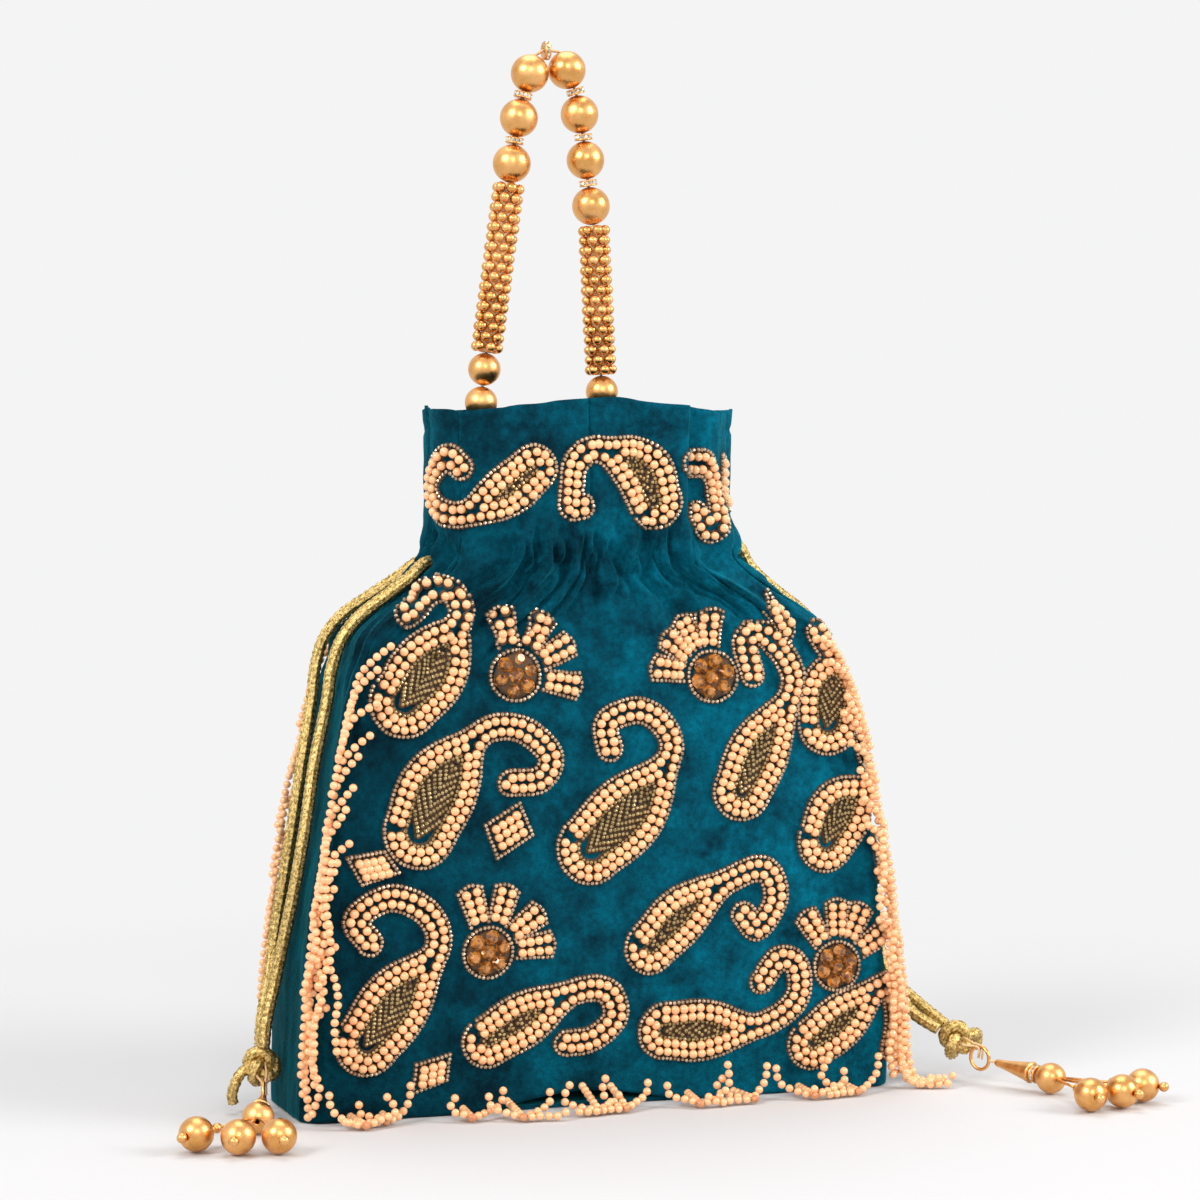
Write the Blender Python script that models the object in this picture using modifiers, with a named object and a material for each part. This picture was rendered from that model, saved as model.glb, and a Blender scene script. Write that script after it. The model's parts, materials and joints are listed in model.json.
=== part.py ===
"""Potli bag: a teal velvet drawstring pouch with bead embroidery, a bead fringe,
a beaded hand loop and two cord tassels. Metres, +Z up, the front faces -Y, and
the origin is the middle of the bottom panel's underside."""

import math

import bmesh
import bpy
from mathutils import Vector

MM = 0.001

# Bag body: widths and depths are those of the outer velvet
BASE_WIDTH = 0.200
SHOULDER_WIDTH = 0.160
SHOULDER_HEIGHT = 0.147
SIDE_BULGE = 0.0053
NECK_WIDTH = 0.102
NECK_HEIGHT = 0.177
RIM_WIDTH = 0.105
RIM_HEIGHT = 0.2225
RIM_RISE = 0.003
BODY_DEPTH = 0.048
NECK_DEPTH = 0.044
BELLY = 0.003
BODY_CORNER = 0.008
NECK_CORNER = 0.019

# Cloth
VELVET = 0.0010
LINING = 0.0006
GAP = 0.0003
LINING_GAP = 0.0008
BOTTOM_THICKNESS = 0.0012
TOP_HEM = 0.0065

# Gathers at the neck, folds of the collar and the lifted hem
GATHER_HEIGHT = 0.0013
GATHER_UNEVEN = 0.35
GATHER_DROP = 0.034
GATHER_RISE = 0.014
GATHER_WAVES = (8, 2, 4, 2)
COLLAR_FOLDS = ((0.62, 0.07, -0.0055), (0.44, 0.09, 0.0009))
HEM_LIFT = 0.005
HEM_LIFT_CENTRE = -0.08
HEM_LIFT_REACH = 0.40
HEM_LIFT_FADE = 0.050

# Drawstring and its casing
CORD = 0.0042
CORD_PITCH = 0.0055
CASING_REACH = 0.0075
CASING_FADE = 0.0085
LOOP_CLEARANCE = 0.0006
SLIT_CLEARANCE = 0.0010

# Embroidery
PAD = 0.0016
PAD_ROOT = 0.0009
PAD_STEP = 0.011
SEAM_MARGIN = 0.9
TAIL_HALF_WIDTH = 0.0036
STONES_RADIUS = 0.0062
STONES_HEIGHT = 0.0024
STONES_BORDER = 0.0015
PETAL_REACH = 0.0215
PETAL_HALF_WIDTH = 0.0041

# Bead fringe
PEARL = 0.0026
TAPE = 0.0016
STRAND_PITCH = 0.0150
STRAND_DROP = 0.024
STRAND_FORWARD = 0.017
FRINGE_TOP = 0.150

# Beaded hand loop
BALL = 0.0124
SMALL_BALL = 0.0106
RONDELLE = 0.0062
RONDELLE_LENGTH = 0.0020
SLEEVE = 0.0108
SLEEVE_ROW = 0.00325
LEFT_SLEEVE_ROWS = 17
RIGHT_SLEEVE_ROWS = 15
BEAD_HOLE = 0.0018
STRING = 0.0010
ANCHOR_HEIGHT = 0.212
LOOP_REACH = 0.0016
TAB_WIDTH = 0.0048
TAB_HEIGHT = 0.010
TAB_THICKNESS = 0.0012
APEX = (-0.0076, 0.3390)
LEFT_TOP_BALL = (-0.0133, 0.3314)
RIGHT_TOP_BALL = (-0.0005, 0.3330)

# Tassels
KNOT_RADIUS = 0.0062
RING_RADIUS = 0.0044
RING_WIRE = 0.0012
CONE_LENGTH = 0.0150
CONE_RADIUS = 0.0036
HEAD_BALL = 0.0100
DROP_BALL = 0.0107
DROP_REACH = 0.031
DROP_BEAD = 0.0032
DROP_THREAD = 0.0010
FLOOR_GAP = 0.0001

# Cloth columns: arcs at each end, and the flat between, of front, side, back, side
FLAT_SHARE = (0.88, 0.50, 0.88, 0.50)
ARC_COLUMNS = 2
FLAT_COLUMNS = (24, 3, 12, 3)
LEVELS = (0, 30, 60, 90, 118, 136, 147, 155, 162, 168, 174, 180, 188, 203, RIM_HEIGHT / MM)

# Each paisley: half width of its body, then its spine from the round end to the
# tail's tip, as distances (mm) along the front from its middle and up from the base
PAISLEYS = (
    (11.5, ((-66.5, 131), (-57, 144.5), (-49.5, 156.5), (-51.5, 163.5), (-58.5, 164.5), (-65, 158.5))),
    (12.5, ((-63, 91), (-55.5, 106), (-43, 119.5), (-30, 121.5), (-20.5, 114), (-23.5, 106), (-32, 104.5))),
    (12.0, ((-6.5, 83), (9, 97), (20, 112), (18, 121), (9, 126), (0, 122.5), (0, 115))),
    (9.5, ((45, 99.5), (52.5, 115), (62, 130.5), (61.5, 140), (54.5, 147.5), (48, 145.5), (49, 137))),
    (8.0, ((73, 121), (73.5, 130), (73, 138), (70, 144))),
    (9.5, ((73.5, 83), (77.5, 90.5), (82, 97))),
    (11.5, ((-80, 25.5), (-69.5, 39), (-58.5, 53), (-61, 64), (-71.5, 68.5), (-81, 63.5), (-79.5, 56.5))),
    (8.5, ((-40.5, 23.5), (-28.5, 30), (-12.5, 36.5), (-2, 36), (1, 28.5), (-5.5, 22), (-14, 21))),
    (9.0, ((13.5, 50.5), (25.5, 61.5), (40, 70.5), (51.5, 72.5), (56, 64.5), (51, 56.5), (45.5, 60))),
    (9.5, ((19, 23), (33, 23), (51.5, 23.5), (62.5, 30.5), (63.5, 40), (57.5, 43.5), (52.5, 37.5))),
    (8.5, ((68.5, 15.5), (79, 23.5), (88, 30.5), (92.5, 26), (92, 17))),
    (7.0, ((-20.5, 203), (-28.5, 198), (-36, 193), (-41, 190.5))),
    (8.5, ((11, 195), (7, 203.5), (-3, 208.5), (-9, 204.5), (-10, 197.5), (-8, 191))),
    (4.6, ((32, 205.5), (37.5, 202.5), (38.5, 193.5), (35, 186))),
)
# Each flower: its stones' middle (mm, as above) and the directions of its petals (degrees)
FLOWERS = (
    (-31, 138.5, (103, 61, 27, -11)),
    (35.5, 136.5, (92, 120, 148, 175)),
    (-41, 51.5, (107, 72, 35, 3)),
    (78.5, 45.5, (121, 92, 63)),
    (76.5, 112.5, (150, 180)),
)
# Each diamond: its middle (mm), half length, half width, and the length's direction (degrees)
DIAMONDS = (
    (-34, 90, 9, 5.5, 60),
    (-78.5, 80.5, 8, 5.0, 0),
    (-59, 13, 7, 4.5, 40),
    (59.5, 155, 8, 4.0, 125),
)

# Drawstring tails: centre points (mm), chosen along the sides of the bag
LEFT_OUTER_ROUTE = (
    (-50.2, 2.6, 173), (-54.5, 3.6, 173.5), (-61, 6, 168.5), (-69.5, 9, 162.5), (-77.5, 12, 156.5),
    (-83.2, 13, 149), (-86, 13, 140), (-87.5, 12, 130), (-91.7, 8, 111), (-95, 6.5, 93),
    (-98, 7, 74), (-100.5, 8, 58), (-103, 7, 43), (-106, 4.6, 30), (-107, 3.6, 20.95),
)
LEFT_INNER_ROUTE = (
    (-50.2, -2.6, 173), (-54.5, -4.2, 173.5), (-61, -7, 168.5), (-69.5, -7.5, 162.5), (-77.5, -7.5, 156.5),
    (-83.2, -7.5, 149), (-86, -7, 140), (-87.5, -7, 130), (-91.7, -7.5, 111), (-95, -9.5, 93),
    (-98, -8, 74), (-100.5, -4.5, 58), (-103, -1.5, 43), (-106, -1.4, 30), (-107, -1.2, 20.95),
)
RIGHT_FRONT_ROUTE = (
    (48.2, -2.6, 178.5), (54.5, -3, 178), (61.5, -4, 170.5), (69.5, -4, 163), (77.5, -4, 156.5),
    (83.2, -4, 149), (86, -4, 140), (87.5, -4, 130), (91.7, -4, 111), (95, -4, 93),
    (98, -4, 74), (101, -4.5, 56), (103.5, -5.5, 42), (107, -9, 29), (112, -14, 21.5), (118.2, -19.8, 16.8),
)
RIGHT_BACK_ROUTE = (
    (48.2, 2.6, 178.5), (54.5, 3, 178), (61.5, 3, 170.5), (69.5, 3, 163), (77.5, 3, 156.5),
    (83.2, 3, 149), (86, 3, 140), (87.5, 3, 130), (91.7, 3, 111), (95, 3, 93),
    (98, 3, 74), (101.5, 2, 56), (105.5, 0, 42), (110.5, -4, 30.5), (116, -9.5, 24), (121.9, -17.4, 17.8),
)

# Tassels: knot, ring and head ball centres (mm), and each drop's direction on the floor (degrees)
LEFT_KNOT, LEFT_RING, LEFT_HEAD = (-107, 1.6, 14.6), (-108, -5.4, 7.0), (-116.5, -32.8, 5.1)
RIGHT_KNOT, RIGHT_RING, RIGHT_HEAD = (123.8, -21.8, 13.4), (129.4, -28.5, 8.0), (142.3, -54.8, 5.1)
LEFT_DROPS = (-140, -114.5, -92)
RIGHT_DROPS = (-93, -70, -46)


def ease(t):
    t = min(max(t, 0.0), 1.0)
    return t * t * (3 - 2 * t)


def shoulder_blend(z):
    return ease((z - SHOULDER_HEIGHT) / (NECK_HEIGHT - SHOULDER_HEIGHT))


def half_width(z):
    """Half the bag's width at height z."""
    if z <= SHOULDER_HEIGHT:
        t = z / SHOULDER_HEIGHT
        return (BASE_WIDTH + (SHOULDER_WIDTH - BASE_WIDTH) * t) / 2 + SIDE_BULGE * 4 * t * (1 - t)
    if z <= NECK_HEIGHT:
        return (SHOULDER_WIDTH + (NECK_WIDTH - SHOULDER_WIDTH) * shoulder_blend(z)) / 2
    t = (z - NECK_HEIGHT) / (RIM_HEIGHT - NECK_HEIGHT)
    return (NECK_WIDTH + (RIM_WIDTH - NECK_WIDTH) * t) / 2


def half_depth(z):
    """Half the bag's depth at height z, with a slight belly."""
    t = min(z / SHOULDER_HEIGHT, 1.0)
    return (BODY_DEPTH + (NECK_DEPTH - BODY_DEPTH) * shoulder_blend(z)) / 2 + BELLY * 4 * t * (1 - t)


def corner_radius(z):
    return BODY_CORNER + (NECK_CORNER - BODY_CORNER) * shoulder_blend(z)


def gather_pull(z):
    """1 at the drawn neck, falling to 0 down the shoulders and up the collar."""
    below = ease(1 - (NECK_HEIGHT - z) / GATHER_DROP)
    above = ease(1 - (z - NECK_HEIGHT) / GATHER_RISE)
    return below if z < NECK_HEIGHT else above


def gathers(side, p, z):
    wave = math.cos(math.pi * GATHER_WAVES[side] * p)
    return GATHER_HEIGHT * gather_pull(z) * wave * (1 + GATHER_UNEVEN * math.sin(2 * math.pi * p))


def collar_folds(side, p, z):
    """The broad folds of the standing collar, on the front only."""
    if side:
        return 0.0
    hold = ease((z - NECK_HEIGHT + GATHER_RISE) / (2 * GATHER_RISE))
    return hold * sum(d * math.exp(-(((p - c) / w) ** 2)) for c, w, d in COLLAR_FOLDS)


def wall_point(side, p, z, out=0.0, gathered=True):
    """A point of the wall. side: 0 front, 1 right, 2 back, 3 left. p: -1 to 1 from seam to seam."""
    along, away = half_width(z), half_depth(z)
    if side % 2:
        along, away = away, along
    radius = corner_radius(z)
    flat = FLAT_SHARE[side]
    step = out + collar_folds(side, p, z) + (gathers(side, p, z) if gathered else 0.0)
    angle = math.copysign(max(abs(p) - flat, 0.0) / (1 - flat) * math.pi / 4, p)
    middle = (along - radius) * min(max(p / flat, -1.0), 1.0)
    u = middle + (radius + step) * math.sin(angle)
    v = away - radius + (radius + step) * math.cos(angle)
    x, y = ((u, -v), (v, u), (-u, v), (-v, -u))[side]
    return Vector((x, y, z))


def front_point(s, z, out=0.0):
    """The front's point at distance s along the cloth from its middle line, short of the seams."""
    flat = half_width(z) - corner_radius(z)
    if abs(s) <= flat:
        return wall_point(0, FLAT_SHARE[0] * s / flat, z, out, gathered=False)
    past = min((abs(s) - flat) / (corner_radius(z) * math.pi / 4), SEAM_MARGIN)
    return wall_point(0, math.copysign(FLAT_SHARE[0] + (1 - FLAT_SHARE[0]) * past, s), z, out, gathered=False)


def clear_scene():
    for obj in list(bpy.data.objects):
        bpy.data.objects.remove(obj, do_unlink=True)


def new_collection(name, hidden=False):
    collection = bpy.data.collections.new(name)
    bpy.context.scene.collection.children.link(collection)
    collection.hide_render = hidden
    return collection


def new_material(name, colour, roughness, metallic=0.0):
    material = bpy.data.materials.new(name)
    material.use_nodes = True
    shader = material.node_tree.nodes["Principled BSDF"]
    shader.inputs["Base Color"].default_value = (*colour, 1.0)
    shader.inputs["Roughness"].default_value = roughness
    shader.inputs["Metallic"].default_value = metallic
    return material


clear_scene()
PARTS = new_collection("potli_bag")
CUTTERS = new_collection("cutters", hidden=True)
VELVET_TEAL = new_material("teal_velvet", (0.0, 0.12, 0.17), 0.9)
LINING_CLOTH = new_material("lining_cloth", (0.02, 0.16, 0.20), 0.8)
PEARL_BEAD = new_material("peach_pearl", (0.95, 0.58, 0.28), 0.25)
GOLD = new_material("gold_bead", (0.75, 0.48, 0.16), 0.3, 1.0)
CRYSTAL = new_material("rhinestone", (0.8, 0.7, 0.5), 0.1, 0.6)
AMBER = new_material("amber_stone", (0.55, 0.25, 0.05), 0.1)
LUREX = new_material("gold_lurex_cord", (0.62, 0.45, 0.18), 0.4, 0.7)
THREAD = new_material("thread", (0.75, 0.60, 0.38), 0.7)


def add_object(name, mesh, material, collection=None):
    """A linked object of this mesh. One in the cutters' collection is hidden from renders."""
    obj = bpy.data.objects.new(name, mesh)
    (collection or PARTS).objects.link(obj)
    if collection is CUTTERS:
        obj.hide_render = True
        obj.display_type = "WIRE"
    elif not mesh.materials:
        mesh.materials.append(material)
    return obj


def mesh_from(bm, name):
    mesh = bpy.data.meshes.new(name)
    bm.to_mesh(mesh)
    bm.free()
    return mesh


def grid_mesh(name, rows, closed=False, floor=False):
    """A sheet of quads through rows of points. closed joins each row's ends, floor fills row 0."""
    bm = bmesh.new()
    verts = [[bm.verts.new(point) for point in row] for row in rows]
    across = len(rows[0]) if closed else len(rows[0]) - 1
    for low, high in zip(verts, verts[1:]):
        for i in range(across):
            j = (i + 1) % len(low)
            bm.faces.new((low[i], low[j], high[j], high[i]))
    if floor:
        bm.faces.new(verts[0][::-1])
    return mesh_from(bm, name)


def solidify(obj, thickness):
    modifier = obj.modifiers.new("thickness", "SOLIDIFY")
    modifier.thickness = thickness
    modifier.offset = -1


def boolean(obj, tool, operation, overlapping=False):
    """overlapping: the tool is several pieces that run into each other."""
    modifier = obj.modifiers.new(f"{operation.lower()}_{tool.name}", "BOOLEAN")
    modifier.operation = operation
    modifier.object = tool
    modifier.solver = "EXACT"
    modifier.use_self = overlapping


def box(name, low, high, material, collection=None):
    """A box between two corners."""
    bm = bmesh.new()
    bmesh.ops.create_cube(bm, size=1.0)
    low, high = Vector(low), Vector(high)
    for vert in bm.verts:
        vert.co = Vector(high[i] if vert.co[i] > 0 else low[i] for i in range(3))
    return add_object(name, mesh_from(bm, name), material, collection)


def mesh_of_curve(obj):
    """The curve's tube as a mesh object with its caps welded on, in the curve's place."""
    graph = bpy.context.evaluated_depsgraph_get()
    mesh = bpy.data.meshes.new_from_object(obj.evaluated_get(graph))
    bm = bmesh.new()
    bm.from_mesh(mesh)
    bmesh.ops.remove_doubles(bm, verts=bm.verts, dist=1e-6)
    bm.to_mesh(mesh)
    bm.free()
    name, collection, matrix = obj.name, obj.users_collection[0], obj.matrix_world.copy()
    bpy.data.objects.remove(obj, do_unlink=True)
    made = add_object(name, mesh, None, collection)
    made.matrix_world = matrix
    return made


def tube(name, points, diameter, material, resolution=2, cyclic=False, collection=None):
    """A round tube along a POLY spline, its ends closed."""
    curve = bpy.data.curves.new(name, "CURVE")
    curve.dimensions = "3D"
    curve.bevel_depth = diameter / 2
    curve.bevel_resolution = resolution
    curve.use_fill_caps = not cyclic
    spline = curve.splines.new("POLY")
    spline.points.add(len(points) - 1)
    for slot, point in zip(spline.points, points):
        slot.co = (*point, 1.0)
    spline.use_cyclic_u = cyclic
    curve.materials.append(material)
    return add_object(name, curve, material, collection)


def smooth_route(points, step):
    """Points about one step apart along a Catmull-Rom curve through the given points."""
    route = [Vector(p) for p in points]
    padded = [2 * route[0] - route[1], *route, 2 * route[-1] - route[-2]]
    found = []
    for a, b, c, d in zip(padded, padded[1:], padded[2:], padded[3:]):
        count = max(1, round((c - b).length / step))
        for k in range(count):
            t = k / count
            found.append(
                0.5 * (2 * b + (c - a) * t + (2 * a - 5 * b + 4 * c - d) * t**2 + (3 * b - a - 3 * c + d) * t**3)
            )
    return [*found, route[-1]]


def turned(name, profile, material, steps, ring=False):
    """A profile of (radius, height) turned about Z. A ring's profile closes away from the axis."""
    bm = bmesh.new()
    verts = [bm.verts.new((r, 0.0, h)) for r, h in profile]
    for low, high in zip(verts, verts[1:]):
        bm.edges.new((low, high))
    if ring:
        bm.edges.new((verts[-1], verts[0]))
    obj = add_object(name, mesh_from(bm, name), material)
    screw = obj.modifiers.new("turn", "SCREW")
    screw.steps = steps
    screw.render_steps = steps
    screw.use_merge_vertices = not ring
    screw.merge_threshold = 1e-5
    screw.use_smooth_shade = True
    return obj


def aim(obj, centre, direction):
    """Puts the turned piece's middle at centre and its axis along direction."""
    obj.location = centre
    obj.rotation_euler = Vector(direction).to_track_quat("Z", "Y").to_euler()
    return obj


def columns(side, arcs=ARC_COLUMNS, flats=None, seam_gap=0.0):
    """The cloth's column places p, from seam to seam."""
    flat, count = FLAT_SHARE[side], flats or FLAT_COLUMNS[side]
    edge = 1 - seam_gap
    ends = [flat + (edge - flat) * k / arcs for k in range(1, arcs + 1)]
    return [-p for p in ends[::-1]] + [flat * (2 * k / count - 1) for k in range(count + 1)] + ends


def hem_lift(side, p):
    """How high the front's lower edge is lifted off the floor."""
    near = 1 - abs(p - HEM_LIFT_CENTRE) / HEM_LIFT_REACH
    return 0.0 if side else HEM_LIFT * ease(near)


def panel_row(side, level, seam_gap):
    row = []
    for p in columns(side, seam_gap=seam_gap):
        z = max(level, FLOOR_GAP) + hem_lift(side, p) * max(0.0, 1 - level / HEM_LIFT_FADE)
        if side == 0 and level > NECK_HEIGHT:
            z += RIM_RISE * (1 - p * p) * (level - NECK_HEIGHT) / (RIM_HEIGHT - NECK_HEIGHT)
        row.append(wall_point(side, p, z))
    return row


def velvet_panel(name, side):
    """One velvet panel of the wall, from its hem to the rim, sewn to its neighbours at the seams."""
    seam_gap = GAP / (BODY_CORNER * math.pi / 4) * (1 - FLAT_SHARE[side])
    rows = [panel_row(side, level * MM, seam_gap) for level in LEVELS]
    obj = add_object(name, grid_mesh(name, rows), VELVET_TEAL)
    solidify(obj, VELVET)
    return obj


def paisley_outline(half_mm, spine_mm):
    """Left and right offset points along the spine, wide in the body and narrow in the tail."""
    spine = smooth_route([(x * MM, z * MM, 0.0) for x, z in spine_mm], PAD_STEP)
    lengths = [0.0]
    for a, b in zip(spine, spine[1:]):
        lengths.append(lengths[-1] + (b - a).length)
    neck = (Vector(spine_mm[2]) - Vector(spine_mm[1])).length + (Vector(spine_mm[1]) - Vector(spine_mm[0])).length
    left, right = [], []
    for i, point in enumerate(spine):
        ahead = spine[min(i + 1, len(spine) - 1)] - spine[max(i - 1, 0)]
        normal = Vector((-ahead.y, ahead.x, 0.0)).normalized()
        t = min(lengths[i] / (neck * MM), 1.0)
        swell = 0.86 + 0.14 * ease(3 * t) if t < 0.33 else 1 - ease((t - 0.33) / 0.67)
        half = TAIL_HALF_WIDTH + (half_mm * MM - TAIL_HALF_WIDTH) * swell
        left.append(point + half * normal)
        right.append(point - half * normal)
    start = (spine[0] - spine[1]).normalized() * (left[0] - right[0]).length * 0.42
    finish = (spine[-1] - spine[-2]).normalized() * TAIL_HALF_WIDTH * 0.9
    return left, right, spine[0] + start, spine[-1] + finish


def add_pad(bm, faces):
    """A raised pad on the front: each face is a list of (s, z) points, wound as seen from outside."""
    keys = {}
    for face in faces:
        for s, z in face:
            keys.setdefault((round(s, 6), round(z, 6)), (s, z))
    top, base = {}, {}
    for k, (s, z) in keys.items():
        slack = cloth_trough() * gather_pull(z)
        top[k] = bm.verts.new(front_point(s, z, PAD + slack))
        base[k] = bm.verts.new(front_point(s, z, -PAD_ROOT - slack))
    borders = {}
    for face in faces:
        loop = [(round(s, 6), round(z, 6)) for s, z in face]
        bm.faces.new([top[k] for k in loop])
        bm.faces.new([base[k] for k in loop[::-1]])
        for a, b in zip(loop, loop[1:] + loop[:1]):
            borders[(a, b)] = True
    for a, b in borders:
        if (b, a) not in borders:
            bm.faces.new((base[a], base[b], top[b], top[a]))


def paisley_faces(half_mm, spine_mm):
    left, right, start, finish = paisley_outline(half_mm, spine_mm)
    faces = [[start, right[0], left[0]], [finish, left[-1], right[-1]]]
    for i in range(len(left) - 1):
        faces.append([left[i], right[i], right[i + 1], left[i + 1]])
    return [[(p.x, p.y) for p in face] for face in faces]


def flower_faces(s_mm, z_mm, petals):
    """A round of stones with petals fanned around one side."""
    s, z = s_mm * MM, z_mm * MM
    rim = STONES_RADIUS + STONES_BORDER
    tip = math.degrees(PETAL_HALF_WIDTH / PETAL_REACH)
    petals = sorted(petals)
    edge = []
    for here, after in zip(petals, [*petals[1:], None]):
        edge += [(here - tip, PETAL_REACH), (here + tip, PETAL_REACH)]
        if after is not None:
            edge.append(((here + after) / 2, rim * 1.2))
    last, first = petals[-1] + 34, petals[0] + 326
    edge += [(last + (first - last) * k / 4, rim) for k in range(5)]
    ring = [(s + r * math.cos(math.radians(a)), z + r * math.sin(math.radians(a))) for a, r in edge]
    return [[(s, z), a, b] for a, b in zip(ring, ring[1:] + ring[:1])]


def diamond_faces(s_mm, z_mm, long_mm, wide_mm, degrees):
    turn = math.radians(degrees)
    corners = []
    for k, half in enumerate((long_mm, wide_mm, long_mm, wide_mm)):
        angle = turn + k * math.pi / 2
        corners.append(((s_mm + half * math.cos(angle)) * MM, (z_mm + half * math.sin(angle)) * MM))
    return [corners]


def embroidery_pads():
    """All the raised bead motifs of the front, as one tool that joins them to the velvet."""
    bm = bmesh.new()
    for half_mm, spine_mm in PAISLEYS:
        add_pad(bm, paisley_faces(half_mm, spine_mm))
    for flower in FLOWERS:
        add_pad(bm, flower_faces(*flower))
    for diamond in DIAMONDS:
        add_pad(bm, diamond_faces(*diamond))
    bmesh.ops.triangulate(bm, faces=bm.faces)
    bmesh.ops.recalc_face_normals(bm, faces=bm.faces)
    return add_object("embroidery_pads", mesh_from(bm, "embroidery_pads"), None, CUTTERS)


def flower_stones():
    """The round of set stones in the middle of each flower, seated on its pad."""
    for k, (s_mm, z_mm, _) in enumerate(FLOWERS):
        s, z = s_mm * MM, z_mm * MM
        seat = front_point(s, z, PAD + GAP)
        right = front_point(s + MM, z, PAD) - front_point(s - MM, z, PAD)
        normal = right.cross(front_point(s, z + MM, PAD) - front_point(s, z - MM, PAD)).normalized()
        radius, height = STONES_RADIUS, STONES_HEIGHT
        profile = [(0, height), (radius * 0.62, height * 0.9), (radius, height * 0.45), (radius, 0), (0, 0)]
        aim(turned(f"flower_stones_{k + 1}", profile, AMBER, 10), seat, normal)


def slit_cutter(name, side_sign, height):
    """The slit in a side panel that both drawstring tails leave by."""
    half_y = 1.25 * CORD + GAP + SLIT_CLEARANCE
    half_z = CORD / 2 + SLIT_CLEARANCE
    xs = sorted((side_sign * (NECK_WIDTH / 2 - 3 * VELVET - GATHER_HEIGHT), side_sign * (NECK_WIDTH / 2 + 5 * VELVET)))
    return box(name, (xs[0], -half_y, height - half_z), (xs[1], half_y, height + half_z), None, CUTTERS)


def lower_loop_height():
    return NECK_HEIGHT - CORD / 2 - SLIT_CLEARANCE - 0.0009


def upper_loop_height():
    return lower_loop_height() + CORD_PITCH


def make_walls():
    front = velvet_panel("front_panel", 0)
    boolean(front, embroidery_pads(), "UNION", overlapping=True)
    right = velvet_panel("right_side_panel", 1)
    velvet_panel("back_panel", 2)
    left = velvet_panel("left_side_panel", 3)
    boolean(left, slit_cutter("left_slit", -1, lower_loop_height()), "DIFFERENCE")
    boolean(right, slit_cutter("right_slit", 1, upper_loop_height()), "DIFFERENCE")


def make_bottom_panel():
    """The stiff flat bottom, inside the lower edge of the walls."""
    bm = bmesh.new()
    ring = [wall_point(side, p, 0.0, -VELVET - GAP) for side in range(4) for p in columns(side, 1, 2)[:-1]]
    face = bm.faces.new([bm.verts.new(point) for point in ring])
    raised = bmesh.ops.extrude_face_region(bm, geom=[face])["geom"]
    for vert in raised:
        if isinstance(vert, bmesh.types.BMVert):
            vert.co.z = BOTTOM_THICKNESS
    bmesh.ops.recalc_face_normals(bm, faces=bm.faces)
    return add_object("bottom_panel", mesh_from(bm, "bottom_panel"), VELVET_TEAL)


def casing_room(z):
    """1 where the drawstring runs between velvet and lining, 0 away from it."""
    middle = (lower_loop_height() + upper_loop_height()) / 2
    return ease(1 - (abs(z - middle) - CASING_REACH) / CASING_FADE)


def cloth_trough():
    """How far the deepest gather reaches in."""
    return GATHER_HEIGHT * (1 + GATHER_UNEVEN)


def steepness(z):
    """How much longer a level step through the wall is than a square one, at the shoulders."""
    return math.hypot(1, (half_width(z - MM) - half_width(z + MM)) / (2 * MM))


def lining_inset(z):
    room = CORD + GAP + 2 * LOOP_CLEARANCE
    wall = (VELVET + LINING_GAP) * steepness(z)
    return wall + cloth_trough() * gather_pull(z) + room * casing_room(z)


def make_lining():
    """The inner bag: a closed bottom, walls inside the velvet, and a top edge under the rim's hem."""
    base = BOTTOM_THICKNESS + GAP + LINING
    top = RIM_HEIGHT - TOP_HEM
    heights = [base, *(level * MM for level in LEVELS[2:-1]), top]
    rows = []
    for z in heights:
        row = []
        for side, count in enumerate((FLAT_COLUMNS[0], 2, 6, 2)):
            for p in columns(side, 1, count)[:-1]:
                row.append(wall_point(side, p, z, -lining_inset(z) + LINING * (z == base), gathered=False))
        rows.append(row)
    for point in rows[0]:
        point.z = BOTTOM_THICKNESS + GAP
    obj = add_object("lining", grid_mesh("lining", rows, closed=True, floor=True), LINING_CLOTH)
    solidify(obj, LINING)


def make_drawstring_loops():
    """The two drawstrings where they run round the neck inside the casing."""
    inset = VELVET + cloth_trough() + LOOP_CLEARANCE + CORD / 2
    for name, z in (("lower_drawstring_loop", lower_loop_height()), ("upper_drawstring_loop", upper_loop_height())):
        ring = []
        for side, count in enumerate((8, 2, 8, 2)):
            ring += [wall_point(side, p, z, -inset, gathered=False) for p in columns(side, 2, count)[:-1]]
        tube(name, ring, CORD, LUREX, resolution=1, cyclic=True)


def tape_points(side):
    """The fringe's tape: down one seam, along the hem and up the other seam, just outside the velvet."""
    out = GAP + TAPE / 2 + 0.0002
    heights = [FRINGE_TOP * k / 7 for k in range(7, 0, -1)]
    down = [wall_point(side, -1, z, out) for z in heights]
    low = TAPE / 2 + 6 * FLOOR_GAP
    along = [wall_point(side, p, low + hem_lift(side, p), out) for p in columns(side, 2, 8)]
    up = [wall_point(side, 1, z, out) for z in heights[::-1]]
    return down + along + up


def seam_strands(side, end, pitch):
    """Strands that hang down the seam, each bowed outward by a different amount."""
    strands = []
    count = int((FRINGE_TOP - STRAND_DROP) / pitch)
    for k in range(count):
        z = FRINGE_TOP - 0.002 - k * pitch
        root = wall_point(side, end, z, GAP + TAPE / 2)
        outward = (wall_point(side, end, z, 0.01) - wall_point(side, end, z)).normalized()
        across = Vector((-outward.y, outward.x, 0.0))
        bow = outward * (0.0030 + 0.0018 * (k % 2)) + across * (0.0034 if k % 2 else -0.0034)
        drop = Vector((0, 0, -STRAND_DROP))
        slope = wall_point(side, end, z - STRAND_DROP) - wall_point(side, end, z) - drop
        strands.append([root, root + bow + (drop + slope) * 0.25, root + bow + drop + slope])
    return strands


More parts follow.
